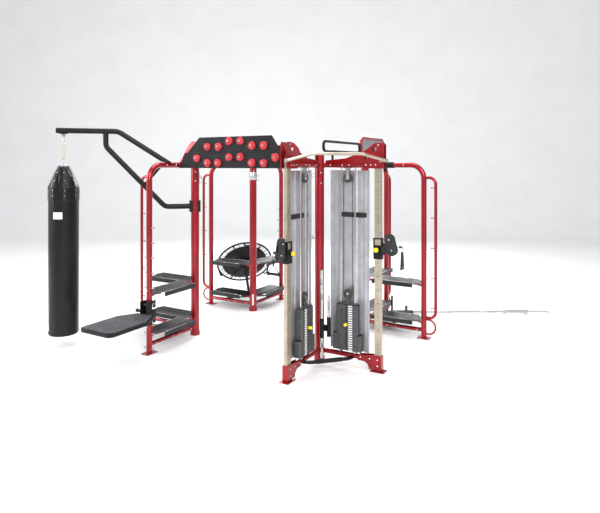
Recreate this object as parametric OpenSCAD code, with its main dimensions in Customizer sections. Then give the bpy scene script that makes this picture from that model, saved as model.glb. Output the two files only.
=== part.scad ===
// Multi-station training cage with a dual adjustable-pulley bay.
// Origin on the floor under the front hub post, +X and +Y along the cage's grid, +Z up.

/* [Cage] */
// Spacing of the hub posts along X
grid_x = 1865; // [1800:5:1950]
// Spacing of the hub posts along Y
grid_y = 1352; // [1340:2:1400]
// Length of a storage arm, hub axis to upright axis
arm_len = 825; // [815:5:850]
// Length of a pulley-bay arm, hub axis to post axis
bay_len = 724; // [720:2:740]
// Height of the centre lines of the top beams
top_z = 2250; // [2240:5:2280]
// Outer radius of a hub post
hub_r = 54; // [52:1:56]
// Outer radius of an end upright
upright_r = 35; // [33:1:36]
// Centre-line radius of the bend at the top of an upright
bend_r = 180; // [150:5:200]

/* [Shelves] */
// Height of the upper trays
tray_upper_z = 700; // [680:5:740]
// Height of the lower trays
tray_lower_z = 222; // [215:1:240]
// Half of a tray's width
tray_half = 145; // [140:1:145]

/* [Pulley bay] */
// Distance of a weight stack's centre from the front hub
stack_x = 360; // [350:1:365]
// Thickness of a weight plate
plate_t = 25.4; // [24:0.2:26]
// Plates in a stack
plates = 20; // [18:1:22]
// Plates that stay down below the selector pin
resting = 11; // [8:1:12]
// Hole that holds the trolleys' pins, counted from the lowest one
trolley_hole = 7; // [6:1:8]

/* [Stations] */
// Length of the heavy bag's cylinder
bag_h = 1826; // [1700:2:1840]
// Radius of the heavy bag
bag_r = 180; // [160:1:190]
// Length of the long bar's thin shaft
shaft_l = 1310; // [1200:5:1320]

/* [Hidden] */
$fn = 48;

red = "firebrick";
champagne = "tan";
charcoal = "dimgray";

wall = 3;                // wall of every tube
gap = 0.3;               // gap between pieces that are bolted or welded together
beam_r = 30;             // straight top beams
low_beam_r = 25;         // storage-arm beams near the floor
low_beam_z = 105;
bay_beam_r = 28;         // bay beams near the floor
bay_beam_z = 120;
foot_t = 8;              // thickness of a floor plate

hub_front = [0, 0];
hub_left = [-grid_x, 0];
hub_back = [-grid_x, grid_y];
hub_right = [0, grid_y];
hubs = [hub_front, hub_left, hub_back, hub_right];
hub_tops = [2362, 2292, 2292, 2292];

// Storage arms: hub and direction
arm_bag = [hub_left, 270];
arm_left = [hub_left, 180];
arm_back_left = [hub_back, 180];
arm_back = [hub_back, 90];
arm_right = [hub_right, 0];
arm_far = [hub_right, 90];
arms = [arm_bag, arm_left, arm_back_left, arm_back, arm_right, arm_far];
peg_arms = [arm_bag, arm_back];
rail_arms = [arm_left, arm_back_left, arm_right, arm_far];
loop_arms = [arm_back_left, arm_right, arm_far];
bay_arms = [[hub_front, 270], [hub_front, 0]];

// Places the children with +X pointing out along an arm
module on_arm(arm) {
    translate([arm[0].x, arm[0].y, 0])
        rotate(arm[1])
            children();
}

// The left side of the pulley bay is the right one mirrored across the diagonal between them
module bay_side(left) {
    if (left)
        mirror([1, 1, 0])
            children();
    else
        children();
}

module ring(r, w) {
    difference() {
        circle(r);
        if (w < r)
            circle(r - w);
    }
}

module tube(r, h, w = wall) {
    linear_extrude(h)
        ring(r, w);
}

// Cylinder along +X
module rod_x(r, h) {
    rotate([0, 90, 0])
        cylinder(r = r, h = h);
}

// Cylinder along +Y
module rod_y(r, h) {
    rotate([-90, 0, 0])
        cylinder(r = r, h = h);
}

// Box with its X and Y centred and its underside at z = 0
module block(x, y, z) {
    translate([-x / 2, -y / 2, 0])
        cube([x, y, z]);
}

// A tube bent in the XY plane. It starts at the origin along +X. Each leg is
// [straight length, turn to the left in degrees, bend radius].
module pipe(legs, r, w = wall, i = 0) {
    straight = legs[i][0];
    turn = legs[i][1];
    bend = legs[i][2];
    side = turn < 0 ? -1 : 1;
    if (straight > 0)
        rotate([0, 90, 0])
            tube(r, straight, w);
    if (turn != 0)
        translate([straight, side * bend, 0])
            rotate(turn < 0 ? 90 + turn : -90)
                rotate_extrude(angle = abs(turn))
                    translate([bend, 0])
                        ring(r, w);
    if (i < len(legs) - 1)
        translate([straight + bend * sin(abs(turn)), side * bend * (1 - cos(turn)), 0])
            rotate(turn)
                pipe(legs, r, w, i + 1);
}

// Turns the pipe's plane upright: it starts along +Z and a left turn leads to -X
module rising() {
    rotate([0, -90, 0])
        rotate([90, 0, 0])
            children();
}

// Turns the pipe's plane upright: it starts along +X and a left turn leads to +Z
module standing() {
    rotate([90, 0, 0])
        children();
}

// Upright oval link in the YZ plane. Its top bar's centre is at the origin, h is its length and
// bend its end radius, both to the middle of the rod.
module link(h, bend, r) {
    translate([0, bend, -bend])
        rotate([0, 90, 0])
            pipe([[h - 2 * bend, -180, bend], [h - 2 * bend, -180, bend]], r, r);
}

// Points of an upright path [[x, z], ...] with every inner corner rounded in four steps
function rounded(path, bend) = [
    for (i = [0 : len(path) - 1])
        if (i == 0 || i == len(path) - 1)
            path[i]
        else
            let (before = path[i - 1] - path[i], after = path[i + 1] - path[i])
            let (a = path[i] + before / norm(before) * bend, b = path[i] + after / norm(after) * bend)
            for (t = [0 : 0.25 : 1])
                (1 - t) * (1 - t) * a + 2 * t * (1 - t) * path[i] + t * t * b
];

// Solid round bar along an upright path, with a ball at every joint
module bent_bar(points, r) {
    ball = 0.05;
    for (i = [0 : len(points) - 2]) {
        run = points[i + 1] - points[i];
        translate([points[i].x, 0, points[i].y])
            rotate([0, atan2(run.x, run.y), 0])
                cylinder(r = r, h = norm(run));
        if (i > 0)
            translate([points[i].x, 0, points[i].y])
                sphere(r + ball);
    }
}

module hub_clearance() {
    for (hub = hubs)
        translate([hub.x, hub.y, -1])
            cylinder(r = hub_r + gap, h = 2600);
}

module upright_clearance() {
    for (arm = arms)
        on_arm(arm)
            translate([arm_len, 0, -1])
                cylinder(r = upright_r + gap, h = top_z - bend_r);
}

// ---------------------------------------------------------------- frame

module hub_posts() {
    foot_r = hub_r + 9;
    foot_h = 48;
    cap_t = 8;
    base_t = 6;
    vent_x = 30;
    color(red)
        for (i = [0 : 3])
            translate([hubs[i].x, hubs[i].y, 0]) {
                tube(foot_r, foot_h, foot_r - hub_r + wall);
                difference() {
                    cylinder(r = foot_r, h = base_t);
                    translate([vent_x, 0, -1])
                        cylinder(r = 5, h = base_t + 2);
                }
                tube(hub_r, hub_tops[i]);
                translate([0, 0, hub_tops[i] - cap_t])
                    cylinder(r = hub_r, h = cap_t);
            }
}

module end_uprights() {
    color(red)
        difference() {
            for (arm = arms)
                on_arm(arm)
                    translate([arm_len, 0, foot_t + gap])
                        rising()
                            pipe([[top_z - bend_r - foot_t - gap, 90, bend_r],
                                [arm_len - bend_r - hub_r / 2, 0, 0]], upright_r);
            hub_clearance();
        }
}

module top_beams() {
    color(red)
        difference() {
            union() {
                for (y = [0, grid_y])
                    translate([-grid_x, y, top_z])
                        rotate([0, 90, 0])
                            tube(beam_r, grid_x);
                for (x = [0, -grid_x])
                    translate([x, 0, top_z])
                        rotate([-90, 0, 0])
                            tube(beam_r, grid_y);
                for (arm = bay_arms)
                    on_arm(arm)
                        translate([0, 0, top_z])
                            rotate([0, 90, 0])
                                tube(beam_r, bay_len - 38 - gap);
            }
            hub_clearance();
        }
}

module bottom_beams() {
    color(red)
        difference() {
            union() {
                for (arm = arms)
                    on_arm(arm)
                        translate([0, 0, low_beam_z])
                            rotate([0, 90, 0])
                                tube(low_beam_r, arm_len);
                for (arm = bay_arms)
                    on_arm(arm)
                        translate([0, 0, bay_beam_z])
                            rotate([0, 90, 0])
                                tube(bay_beam_r, bay_len - 46 - gap);
            }
            hub_clearance();
            upright_clearance();
        }
}

rail_r = 20;
rail_out = 155;          // rail axis beyond the upright's axis
rail_low = 270;
rail_high = 2085;
rail_bend = 85;
rail_pegs = 5;
rail_peg_pitch = 388;
rail_peg_low = 400;
loop_r = 12;
loop_bend = 92;
loop_z = 152;

module band_peg() {
    peg_l = 38;
    translate([-peg_l, 0, 0])
        rod_x(5, peg_l);
    translate([-peg_l, 0, 0])
        sphere(9);
}

module side_rail() {
    difference() {
        union() {
            translate([arm_len, 0, rail_low])
                standing()
                    pipe([[rail_out - rail_bend, 90, rail_bend],
                        [rail_high - rail_low - 2 * rail_bend, 90, rail_bend],
                        [rail_out - rail_bend, 0, 0]], rail_r);
            for (i = [0 : rail_pegs - 1])
                translate([arm_len + rail_out - rail_r + 1, 0, rail_peg_low + i * rail_peg_pitch])
                    band_peg();
        }
        translate([arm_len, 0, 0])
            cylinder(r = upright_r + gap, h = rail_high + rail_r + 2);
    }
}

module anchor_loop() {
    difference() {
        translate([arm_len + upright_r - 15, 0, loop_z - loop_bend])
            standing()
                pipe([[40, 180, loop_bend], [40, 0, 0]], loop_r, loop_r);
        translate([arm_len, 0, 0])
            cylinder(r = upright_r + gap, h = 400);
    }
}

module side_rails() {
    color(red) {
        for (arm = rail_arms)
            on_arm(arm)
                side_rail();
        for (arm = loop_arms)
            on_arm(arm)
                anchor_loop();
    }
}

foot_hole_r = 7;
foot_hole_x = 120;       // spacing of the floor bolts along the arm
foot_hole_y = 80;

module floor_plate() {
    difference() {
        block(160, 112, foot_t);
        for (x = [-1, 1], y = [-1, 1])
            translate([x * foot_hole_x / 2, y * foot_hole_y / 2, -1])
                cylinder(r = foot_hole_r, h = foot_t + 2);
    }
}

post_x = 76;             // bay post, along the arm
post_y = 40;             // bay post, across the arm
bay_foot_top = 172;

// Curved web from the bay's foot box to its beam
module foot_gusset() {
    arc_r = 72;
    arc_x = -171;
    arc_z = 20;
    arc = [for (a = [90 : -10 : 0]) [arc_x + arc_r * cos(a), arc_z + arc_r * sin(a)]];
    outline = concat([[-46, bay_foot_top], [-230, bay_foot_top - 20], [-230, 92]], arc, [[-46, 20]]);
    rotate([90, 0, 0])
        linear_extrude(6)
            polygon(outline);
}

module bay_foot() {
    box_x = post_x + 16;
    box_y = 2 * (bay_beam_r + gap) + 12;
    sleeve_y = post_y + 2 * gap;
    translate([bay_len, 0, 0]) {
        floor_plate();
        difference() {
            translate([0, 0, foot_t])
                block(box_x, box_y, bay_foot_top - foot_t);
            translate([0, 0, 60])
                block(post_x + 2 * gap, sleeve_y, 200);
        }
        for (y = [box_y / 2, -box_y / 2 + 6])
            translate([0, y, 0])
                foot_gusset();
    }
}

module foot_plates() {
    color(red) {
        for (arm = arms)
            on_arm(arm)
                translate([arm_len, 0, 0])
                    floor_plate();
        for (left = [false, true])
            bay_side(left)
                bay_foot();
    }
}

bolt_r = 9;
bolt_h = 6;

// Domed bolt head standing on a surface, its axis along +Z
module bolt() {
    cylinder(r = bolt_r, h = bolt_h / 2);
    translate([0, 0, bolt_h / 2])
        cylinder(r1 = bolt_r, r2 = bolt_r * 0.6, h = bolt_h / 2, $fn = 24);
}

// Bolt heads on both sides of a piece that reaches half a width across an arm
module cross_bolt(half) {
    for (side = [-1, 1])
        translate([0, side * (half + gap), 0])
            rotate([-90 * side, 0, 0])
                bolt();
}

gusset_y = 38;           // outer face of the bay's top gussets, from the arm's middle
top_bolts = [110, 250, 400, 560];
low_bolts = [110, 330, 450, 740];
gusset_bolts = [590, 650, 705];

module frame_bolts() {
    color("silver") {
        for (arm = arms)
            on_arm(arm) {
                for (x = arm == arm_right ? [110, 560] : top_bolts)
                    translate([x, 0, top_z])
                        cross_bolt(upright_r);
                for (x = low_bolts)
                    translate([x, 0, low_beam_z])
                        cross_bolt(low_beam_r);
                for (z = [tray_lower_z + 100, tray_upper_z + 55])
                    translate([arm_len + upright_r + gap, 0, z])
                        rotate([0, 90, 0])
                            bolt();
            }
        for (arm = bay_arms)
            on_arm(arm) {
                for (x = gusset_bolts)
                    translate([x, 0, top_z])
                        cross_bolt(gusset_y);
                translate([735, 0, 2465])
                    cross_bolt(gusset_y);
                for (x = [150, 300, 380])
                    translate([x, 0, top_z])
                        cross_bolt(beam_r);
                for (x = [bay_len, bay_len - 90, bay_len - 200])
                    translate([x, 0, 130])
                        cross_bolt(bay_beam_r + 6 + gap);
                translate([bay_len, 0, 62])
                    cross_bolt(bay_beam_r + 6 + gap);
            }
        for (i = [0 : 3], z = [2040, 2160])
            translate([hubs[i].x, hubs[i].y, z])
                rotate(-45)
                    translate([hub_r + gap, 0, 0])
                        rotate([0, 90, 0])
                            bolt();
    }
}

tray_start = 95;
tray_end = 772;
tray_cut = 60;
tray_t = 3;
tray_rise = 28;          // the tray's edges above its trough
tray_skirt = 30;         // the tray's skirts below its trough
tray_flat = 22;          // half of the flat along its middle

module shelf_tray() {
    w = tray_half;
    plan = [[tray_start, tray_cut - w], [tray_start + tray_cut, -w], [tray_end - tray_cut, -w],
        [tray_end, tray_cut - w], [tray_end, w - tray_cut], [tray_end - tray_cut, w],
        [tray_start + tray_cut, w], [tray_start, w - tray_cut]];
    fold = [[-w, -tray_skirt], [-w, tray_rise], [-tray_flat, 0], [tray_flat, 0], [w, tray_rise],
        [w, -tray_skirt], [w - tray_t, -tray_skirt], [w - tray_t, tray_rise - tray_t - 1],
        [tray_flat, -tray_t], [-tray_flat, -tray_t], [tray_t - w, tray_rise - tray_t - 1],
        [tray_t - w, -tray_skirt]];
    intersection() {
        rotate([90, 0, 90])
            linear_extrude(arm_len)
                polygon(fold);
        translate([0, 0, -tray_skirt - 1])
            linear_extrude(tray_rise + tray_skirt + 2)
                polygon(plan);
    }
}

module shelf_trays() {
    color(charcoal)
        for (arm = arms)
            on_arm(arm)
                for (z = [tray_lower_z, tray_upper_z])
                    translate([0, 0, z])
                        shelf_tray();
}

module shelf_bracket(start, end, start_half, end_half) {
    translate([0, 0, -tray_t - gap - 6])
        linear_extrude(6)
            polygon([[start, -start_half], [end, -end_half], [end, end_half], [start, start_half]]);
    rib = [[start, -tray_t - gap - 6], [end, -tray_t - gap - 6], [start, -tray_t - gap - 42]];
    translate([0, 3, 0])
        rotate([90, 0, 0])
            linear_extrude(6)
                polygon(rib);
}

module shelf_brackets() {
    color(red)
        difference() {
            for (arm = arms)
                on_arm(arm)
                    for (z = [tray_lower_z, tray_upper_z])
                        translate([0, 0, z]) {
                            shelf_bracket(hub_r / 2, 190, 20, 60);
                            shelf_bracket(arm_len, 690, 20, 60);
                        }
            hub_clearance();
            upright_clearance();
        }
}

// ---------------------------------------------------------------- heavy bag

boom_r = 34;
boom_arm = [hub_left, 225];
boom_tip_x = 1700;
boom_z = 2680;
bag_x = 1618;            // the bag's axis, along the boom
boom_foot_x = 364;       // cross plate over the beams
boom_foot_z = 2287;
low_tube_z = 1705;
boom_drop_x = 1120;
eye_z = boom_z - boom_r - 27;
eye_bend = 14;

module boom_cross_plate() {
    reach = 2 * boom_foot_x + 90;
    translate([boom_foot_x, 0, top_z + upright_r + gap])
        block(90, reach, 8);
}

module boom_hub_clamp() {
    translate([0, 0, low_tube_z - 75])
        difference() {
            translate([-hub_r - 14, -45, 0])
                cube([2 * hub_r + 34, 90, 150]);
            translate([0, 0, -1])
                cylinder(r = hub_r + gap, h = 152);
        }
}

module bag_boom() {
    low_knee_x = 386;
    low_diag = atan2(2486 - low_tube_z, boom_drop_x - low_knee_x);
    color("#202022")
        on_arm(boom_arm) {
            // Top tube from the tip inwards and down to the cross plate
            difference() {
                union() {
                    bent_bar(rounded([[boom_tip_x, boom_z], [970, boom_z],
                        [boom_foot_x - 30, boom_foot_z - 20]], 50), boom_r);
                    translate([bag_x, 0, boom_z - boom_r - 8])
                        block(90, 60, 12);
                    translate([bag_x, 0, eye_z])
                        rotate([90, 0, 0])
                            rotate_extrude()
                                translate([eye_bend, 0])
                                    circle(4.5);
                }
                translate([boom_foot_x, 0, 0])
                    block(400, 600, top_z + upright_r + 8 + 2 * gap);
            }
            // Lower tube from the hub clamp out, up the slope, then straight up
            difference() {
                bent_bar(rounded([[hub_r + 20 + gap, low_tube_z], [low_knee_x, low_tube_z],
                    [boom_drop_x, 2486], [boom_drop_x, boom_z]], 50), boom_r);
                translate([0, 0, boom_z])
                    rod_x(boom_r + gap, boom_tip_x);
            }
            // Short brace from the slope up to the cross plate
            difference() {
                translate([645, 0, 1990])
                    rotate([0, -39, 0])
                        cylinder(r = 20, h = 420);
                bent_bar([[low_knee_x, low_tube_z], [boom_drop_x, 2486]], boom_r + gap);
                translate([boom_foot_x, 0, top_z + upright_r])
                    block(300, 300, 400);
            }
            boom_cross_plate();
            boom_hub_clamp();
            for (d = [170, 620, 850])
                translate([low_knee_x + d * cos(low_diag), 0, low_tube_z + d * sin(low_diag)])
                    rotate([0, low_diag - 90, 0]) {
                        translate([boom_r + gap, 0, 0])
                            rod_x(5, 34);
                    }
        }
}

link_r = 4;
swivel_z = eye_z - eye_bend + 4.5 + link_r + gap;
barrel_z = swivel_z - 68;
hanger_eye_z = barrel_z - 13;
hanger_z = hanger_eye_z - 12 + 4.5 + link_r + gap;

module bag_swivel() {
    color("silver")
        on_arm(boom_arm)
            translate([bag_x, 0, 0]) {
                translate([0, 0, swivel_z])
                    link(44, 10, link_r);
                translate([0, 0, barrel_z])
                    cylinder(r = 10, h = 24);
                translate([0, 0, hanger_eye_z])
                    rotate([0, 90, 0])
                        rotate_extrude()
                            translate([12, 0])
                                circle(4.5);
            }
}

strap_low = 2310;
strap_high = 2500;

module bag_hanger() {
    color("silver")
        on_arm(boom_arm)
            translate([bag_x, 0, 0]) {
                translate([0, 0, hanger_z])
                    rotate(90)
                        link(hanger_z - strap_high, 12, link_r);
                translate([0, 0, strap_low + 10])
                    link(strap_low - 2248 + 6, 16, link_r);
                for (y = [-1, 1])
                    translate([0, y * 3, (strap_low + strap_high) / 2])
                        cube([36, 4, strap_high - strap_low - 14], center = true);
            }
}

bag_floor = 150;

module heavy_bag() {
    top = bag_floor + bag_h;
    neck = 2238;
    color("#151515")
        on_arm(boom_arm)
            translate([bag_x, 0, 0]) {
                translate([0, 0, bag_floor + 15])
                    cylinder(r = bag_r, h = bag_h - 15);
                translate([0, 0, bag_floor])
                    cylinder(r1 = bag_r - 15, r2 = bag_r, h = 15);
                translate([0, 0, top])
                    cylinder(r1 = bag_r, r2 = 62, h = neck - top);
            }
}

// ---------------------------------------------------------------- step

peg_pitch = 180;
peg_low = 60;
peg_count = 9;
peg_r = 8;
step_peg_a = peg_low + 2 * peg_pitch;
step_peg_b = peg_low + 3 * peg_pitch;
deck_top = 478;
deck_near = 880;
deck_far = 1630;
deck_half = 250;
deck_corner = 70;
hook_y = upright_r + 10;
hook_t = 8;

module deck_outline(inset) {
    near = deck_near + inset;
    far = deck_far - inset;
    half = deck_half - inset;
    near_half = 130 - inset;
    taper = 210;
    r = deck_corner;
    polygon([[near, -near_half], [near + taper, -half], [far - r, -half], [far - r, half],
        [near + taper, half], [near, near_half]]);
    translate([far - r - 1, r - half])
        square([r + 1, 2 * (half - r)]);
    for (side = [-1, 1])
        translate([far - r, side * (half - r)])
            circle(r);
}

module hook_plate() {
    slot = 2 * peg_r + 1.4;
    drop = 62;
    back = arm_len - 52;
    difference() {
        translate([back, 0, 352])
            cube([150, hook_t, 280]);
        for (z = [step_peg_a, step_peg_b])
            translate([arm_len, -1, z]) {
                rod_y(slot / 2, hook_t + 2);
                translate([-slot / 2, 0, -drop])
                    cube([slot, hook_t + 2, drop]);
                translate([-60, 0, -drop - slot / 2])
                    cube([60 + slot / 2, hook_t + 2, slot]);
            }
    }
}

module step_deck() {
    color("#242426")
        on_arm(arm_bag) {
            translate([0, 0, deck_top - 42])
                linear_extrude(38)
                    deck_outline(0);
            for (y = [-hook_y - hook_t, hook_y])
                translate([0, y, 0]) {
                    hook_plate();
                    translate([arm_len + 90, 0, 380])
                        cube([160, hook_t, 62]);
                }
            translate([arm_len + 120, -hook_y, 384])
                cube([30, 2 * hook_y, 40]);
            translate([arm_len + upright_r + 24, -hook_y, 590])
                rod_y(16, 2 * hook_y);
        }
}

module step_tread() {
    color("#3a3a3c")
        on_arm(arm_bag)
            difference() {
                translate([0, 0, deck_top - 4 + gap])
                    linear_extrude(8)
                        deck_outline(16);
                for (x = [deck_near + 30 : 30 : deck_far - 30])
                    translate([x, -deck_half, deck_top + 2])
                        cube([8, 2 * deck_half, 4]);
                for (y = [-hook_y - hook_t - 1, hook_y - 1])
                    translate([arm_len, y, deck_top - 10])
                        cube([99, hook_t + 2, 30]);
            }
}

// Locking pin through the outer hook plate, pulled out along the arm's left
module step_pop_pin() {
    color("#1c1c1e")
        on_arm(arm_bag)
            translate([arm_len + 75, -hook_y - hook_t - gap, 515]) {
                mirror([0, 1, 0]) {
                    rod_y(19, 36);
                    translate([0, 36, 0])
                        rod_y(9, 22);
                    translate([0, 58, 0])
                        rod_y(22, 20);
                }
            }
}

// ---------------------------------------------------------------- climbing panel

board_y = -355;
board_t = 18;
board_low = 2212;
board_mid = 2404;
board_high = 2590;

module climbing_boards() {
    left = upright_r + gap + 2 - grid_x;
    lower = [[left, board_low], [left + 100, board_mid - 2], [-300, board_mid - 2], [-270, board_low]];
    upper = [[left + 140, board_mid], [left + 335, board_high], [-437, board_high], [-310, board_mid]];
    color("#202022")
        translate([0, board_y + board_t, 0])
            rotate([90, 0, 0])
                linear_extrude(board_t) {
                    polygon(lower);
                    polygon(upper);
                }
}

// Places of the holds: X and Z
hold_upper = [[-1360, 2475], [-1190, 2470], [-1030, 2535], [-865, 2535], [-700, 2475], [-535, 2475]];
hold_lower = [[-1525, 2335], [-1360, 2275], [-1200, 2275], [-1030, 2345], [-865, 2345], [-700, 2275],
    [-535, 2275], [-375, 2335]];

// A round grip with a dished face
module climbing_hold(lean) {
    difference() {
        rotate([90, 0, 0])
            cylinder(r1 = 52, r2 = 36, h = 42);
        translate([lean, -58, 10])
            sphere(34);
        translate([0, -50, 0])
            rod_y(7, 60);
    }
}

module climbing_holds() {
    spots = concat(hold_upper, hold_lower);
    color("crimson")
        for (i = [0 : len(spots) - 1])
            translate([spots[i].x, board_y - gap, spots[i].y])
                climbing_hold(i % 2 == 0 ? 9 : -9);
}

// ---------------------------------------------------------------- pulley bay

// Upright plate between the climbing boards and a beam
module panel_bracket(outline, holes) {
    translate([0, board_y + board_t + gap + 6, 0])
        rotate([90, 0, 0])
            linear_extrude(6)
                difference() {
                    polygon(outline);
                    for (hole = holes)
                        translate(hole)
                            circle(17);
                }
}

// Rising plate along one side of a bay arm
module bay_gusset() {
    outline = [[95, 2262], [95, 2302], [350, 2325], [560, 2398], [700, 2490], [785, 2490],
        [800, 2470], [800, 2225], [785, 2212], [575, 2212], [560, 2230], [560, 2262]];
    rotate([90, 0, 0])
        linear_extrude(6)
            difference() {
                polygon(outline);
                translate([590, 2340])
                    circle(24);
                translate([690, 2425])
                    circle(28);
            }
}

module gusset_plates() {
    left = upright_r + gap - grid_x;
    right = -beam_r - gap;
    color(red) {
        for (arm = bay_arms)
            on_arm(arm)
                for (y = [gusset_y, 6 - gusset_y])
                    translate([0, y, 0])
                        bay_gusset();
        panel_bracket([[left, 2225], [left + 420, 2225], [left + 420, 2440], [left + 260, 2540],
            [left + 200, 2550], [left + 150, 2500], [left, 2290]], [[left + 90, 2290]]);
        panel_bracket([[right, 2222], [right, 2300], [-90, 2440], [-150, 2500], [-220, 2500],
            [-520, 2440], [-520, 2225]], [[-90, 2290], [-140, 2350], [-170, 2430]]);
    }
}

hole_low = 302;
hole_pitch = 147;
hole_count = 13;
post_base = 60.3;
trolley_z = hole_low + trolley_hole * hole_pitch + 10;

module bay_posts() {
    color(champagne)
        for (left = [false, true])
            bay_side(left)
                translate([bay_len, 0, 0])
                    difference() {
                        translate([0, 0, post_base])
                            block(post_x, post_y, 2300 - post_base);
                        translate([0, 0, post_base - 1])
                            block(post_x - 2 * wall, post_y - 2 * wall, 2302 - post_base);
                        for (i = [0 : hole_count - 1])
                            translate([0, -post_y, hole_low + i * hole_pitch])
                                rod_y(7, post_y);
                    }
}

shroud_start = 123;
shroud_end = 593;

// Folded sheet with a shallow channel behind each guide rod
module stack_shrouds() {
    w = shroud_end - shroud_start;
    rear = [[0, 0], [0, 28.5], [61, 28.5], [76, 42.5], [149, 42.5], [164, 32.5], [306, 32.5],
        [321, 42.5], [394, 42.5], [409, 28.5], [w, 28.5], [w, 0]];
    front = [[w - 2.5, 0], [w - 2.5, 26], [408, 26], [393, 40], [322, 40], [307, 30], [163, 30],
        [148, 40], [77, 40], [62, 26], [2.5, 26], [2.5, 0]];
    color("silver")
        for (left = [false, true])
            bay_side(left)
                translate([shroud_start, 40, 152])
                    linear_extrude(2190 - 152)
                        polygon(concat(rear, front));
}

rod_gap = 87;            // half the spacing of a stack's guide rods
rod_r = 9.5;
stack_low = 178;
stack_top = stack_low + plates * plate_t;
pin_z = stack_low + (resting + 0.5) * plate_t;

module guide_rods() {
    for (left = [false, true])
        bay_side(left)
            for (side = [-1, 1])
                translate([stack_x + side * rod_gap, 0, 0]) {
                    color("silver")
                        translate([0, 0, bay_beam_z + bay_beam_r + gap])
                            cylinder(r = rod_r, h = top_z - beam_r - bay_beam_z - bay_beam_r - 2 * gap);
                    color("#1a1a1a")
                        translate([0, 0, bay_beam_z + bay_beam_r + gap])
                            cylinder(r = 22, h = stack_low - bay_beam_z - bay_beam_r - 2 * gap);
                }
}

top_pulley_z = 2107;
pulley_r = 55;
axle_r = 8;
running = 0.05;          // radial clearance of a pulley on its axle

// Grooved pulley centred on the origin, its axle along Y
module pulley(r = pulley_r) {
    half = 11;
    rotate([90, 0, 0])
        rotate_extrude()
            polygon([[axle_r + running, -half], [r, -half], [r, -half + 3], [r - 7, 0], [r, half - 3],
                [r, half], [axle_r + running, half]]);
}

module pulley_brackets() {
    color("#1c1c1e")
        for (left = [false, true])
            bay_side(left)
                translate([stack_x, 0, 0]) {
                    for (y = [12, -16])
                        translate([-22, y, top_pulley_z - 22])
                            cube([44, 4, top_z - beam_r - gap - 8 - top_pulley_z + 22]);
                    translate([-45, -30, top_z - beam_r - gap - 8])
                        cube([90, 60, 8]);
                    translate([0, -20, top_pulley_z])
                        rod_y(axle_r, 40);
                }
}

module top_pulley(left) {
    color("#3c3c40")
        bay_side(left)
            translate([stack_x, 0, top_pulley_z])
                pulley();
}

module top_pulley_left() { top_pulley(true); }
module top_pulley_right() { top_pulley(false); }

wide_plates = 7;
plate_half = 131;
wide_half = 172;
plate_y = 45;
stem_r = 13;

// One plate with clearance holes for the rods and the stem and a slot for the selector pin
module weight_plate(i) {
    half = i < wide_plates ? wide_half : plate_half;
    cut = 14;
    outline = [[-half, cut - plate_y], [cut - half, -plate_y], [half - cut, -plate_y],
        [half, cut - plate_y], [half, plate_y - cut], [half - cut, plate_y], [cut - half, plate_y],
        [-half, plate_y - cut]];
    translate([stack_x, 0, stack_low + i * plate_t])
        difference() {
            linear_extrude(plate_t - 0.5)
                polygon(outline);
            for (side = [-1, 1])
                translate([side * rod_gap, 0, -1])
                    cylinder(r = rod_r + 1, h = plate_t + 2);
            translate([0, 0, -1])
                cylinder(r = stem_r + 1, h = plate_t + 2);
            translate([0, -plate_y - 1, plate_t / 2])
                rod_y(5.5, plate_y);
        }
}

module resting_plates() {
    color(charcoal)
        for (left = [false, true])
            bay_side(left)
                for (i = [0 : resting - 1])
                    weight_plate(i);
}

stem_low = 200;
head_z = stack_top + 2;
stack_pulley_z = 803;

module lifted_stack(left) {
    color(charcoal)
        bay_side(left) {
            for (i = [resting : plates - 1])
                weight_plate(i);
            translate([stack_x, 0, 0]) {
                difference() {
                    translate([0, 0, stem_low])
                        cylinder(r = stem_r, h = head_z - stem_low + 6);
                    translate([0, -20, pin_z])
                        rod_y(6, 40);
                }
                difference() {
                    translate([0, 0, head_z])
                        block(2 * plate_half - 20, 56, 14);
                    for (side = [-1, 1])
                        translate([side * rod_gap, 0, head_z - 1])
                            cylinder(r = rod_r + 1, h = 20);
                }
                for (y = [12, -16])
                    translate([-18, y, head_z + 14])
                        cube([36, 4, stack_pulley_z - head_z + 6]);
                translate([0, 0, head_z + 13])
                    block(36, 32, 8);
                translate([0, -20, stack_pulley_z])
                    rod_y(axle_r, 40);
            }
        }
}

module stack_left() { lifted_stack(true); }
module stack_right() { lifted_stack(false); }

module selector(left) {
    color("gold")
        bay_side(left)
            translate([stack_x, 0, pin_z]) {
                translate([0, -plate_y - 12, 0])
                    rod_y(4.8, plate_y + 10);
                translate([0, -plate_y - 36, 0])
                    rod_y(18, 26);
                translate([0, -plate_y - 36, 0])
                    sphere(18);
            }
}

module selector_left() { selector(true); }
module selector_right() { selector(false); }

module stack_pulley(left) {
    color("#3c3c40")
        bay_side(left)
            translate([stack_x, 0, stack_pulley_z])
                pulley();
}

module stack_pulley_left() { stack_pulley(true); }
module stack_pulley_right() { stack_pulley(false); }

cable_r = 3;

// The two straight runs between the top pulley and the stack's pulley
module lift_cable(left) {
    color("#1a1a1a")
        bay_side(left)
            for (side = [-1, 1])
                translate([stack_x + side * (pulley_r + 1), 0, stack_pulley_z])
                    cylinder(r = cable_r, h = top_pulley_z - stack_pulley_z);
}

module lift_cable_left() { lift_cable(true); }
module lift_cable_right() { lift_cable(false); }

slide_gap = 0.4;         // between a trolley and its post
pivot_x = 74;            // swivel axis, from the post's axis
pivot_r = 7;

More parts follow.
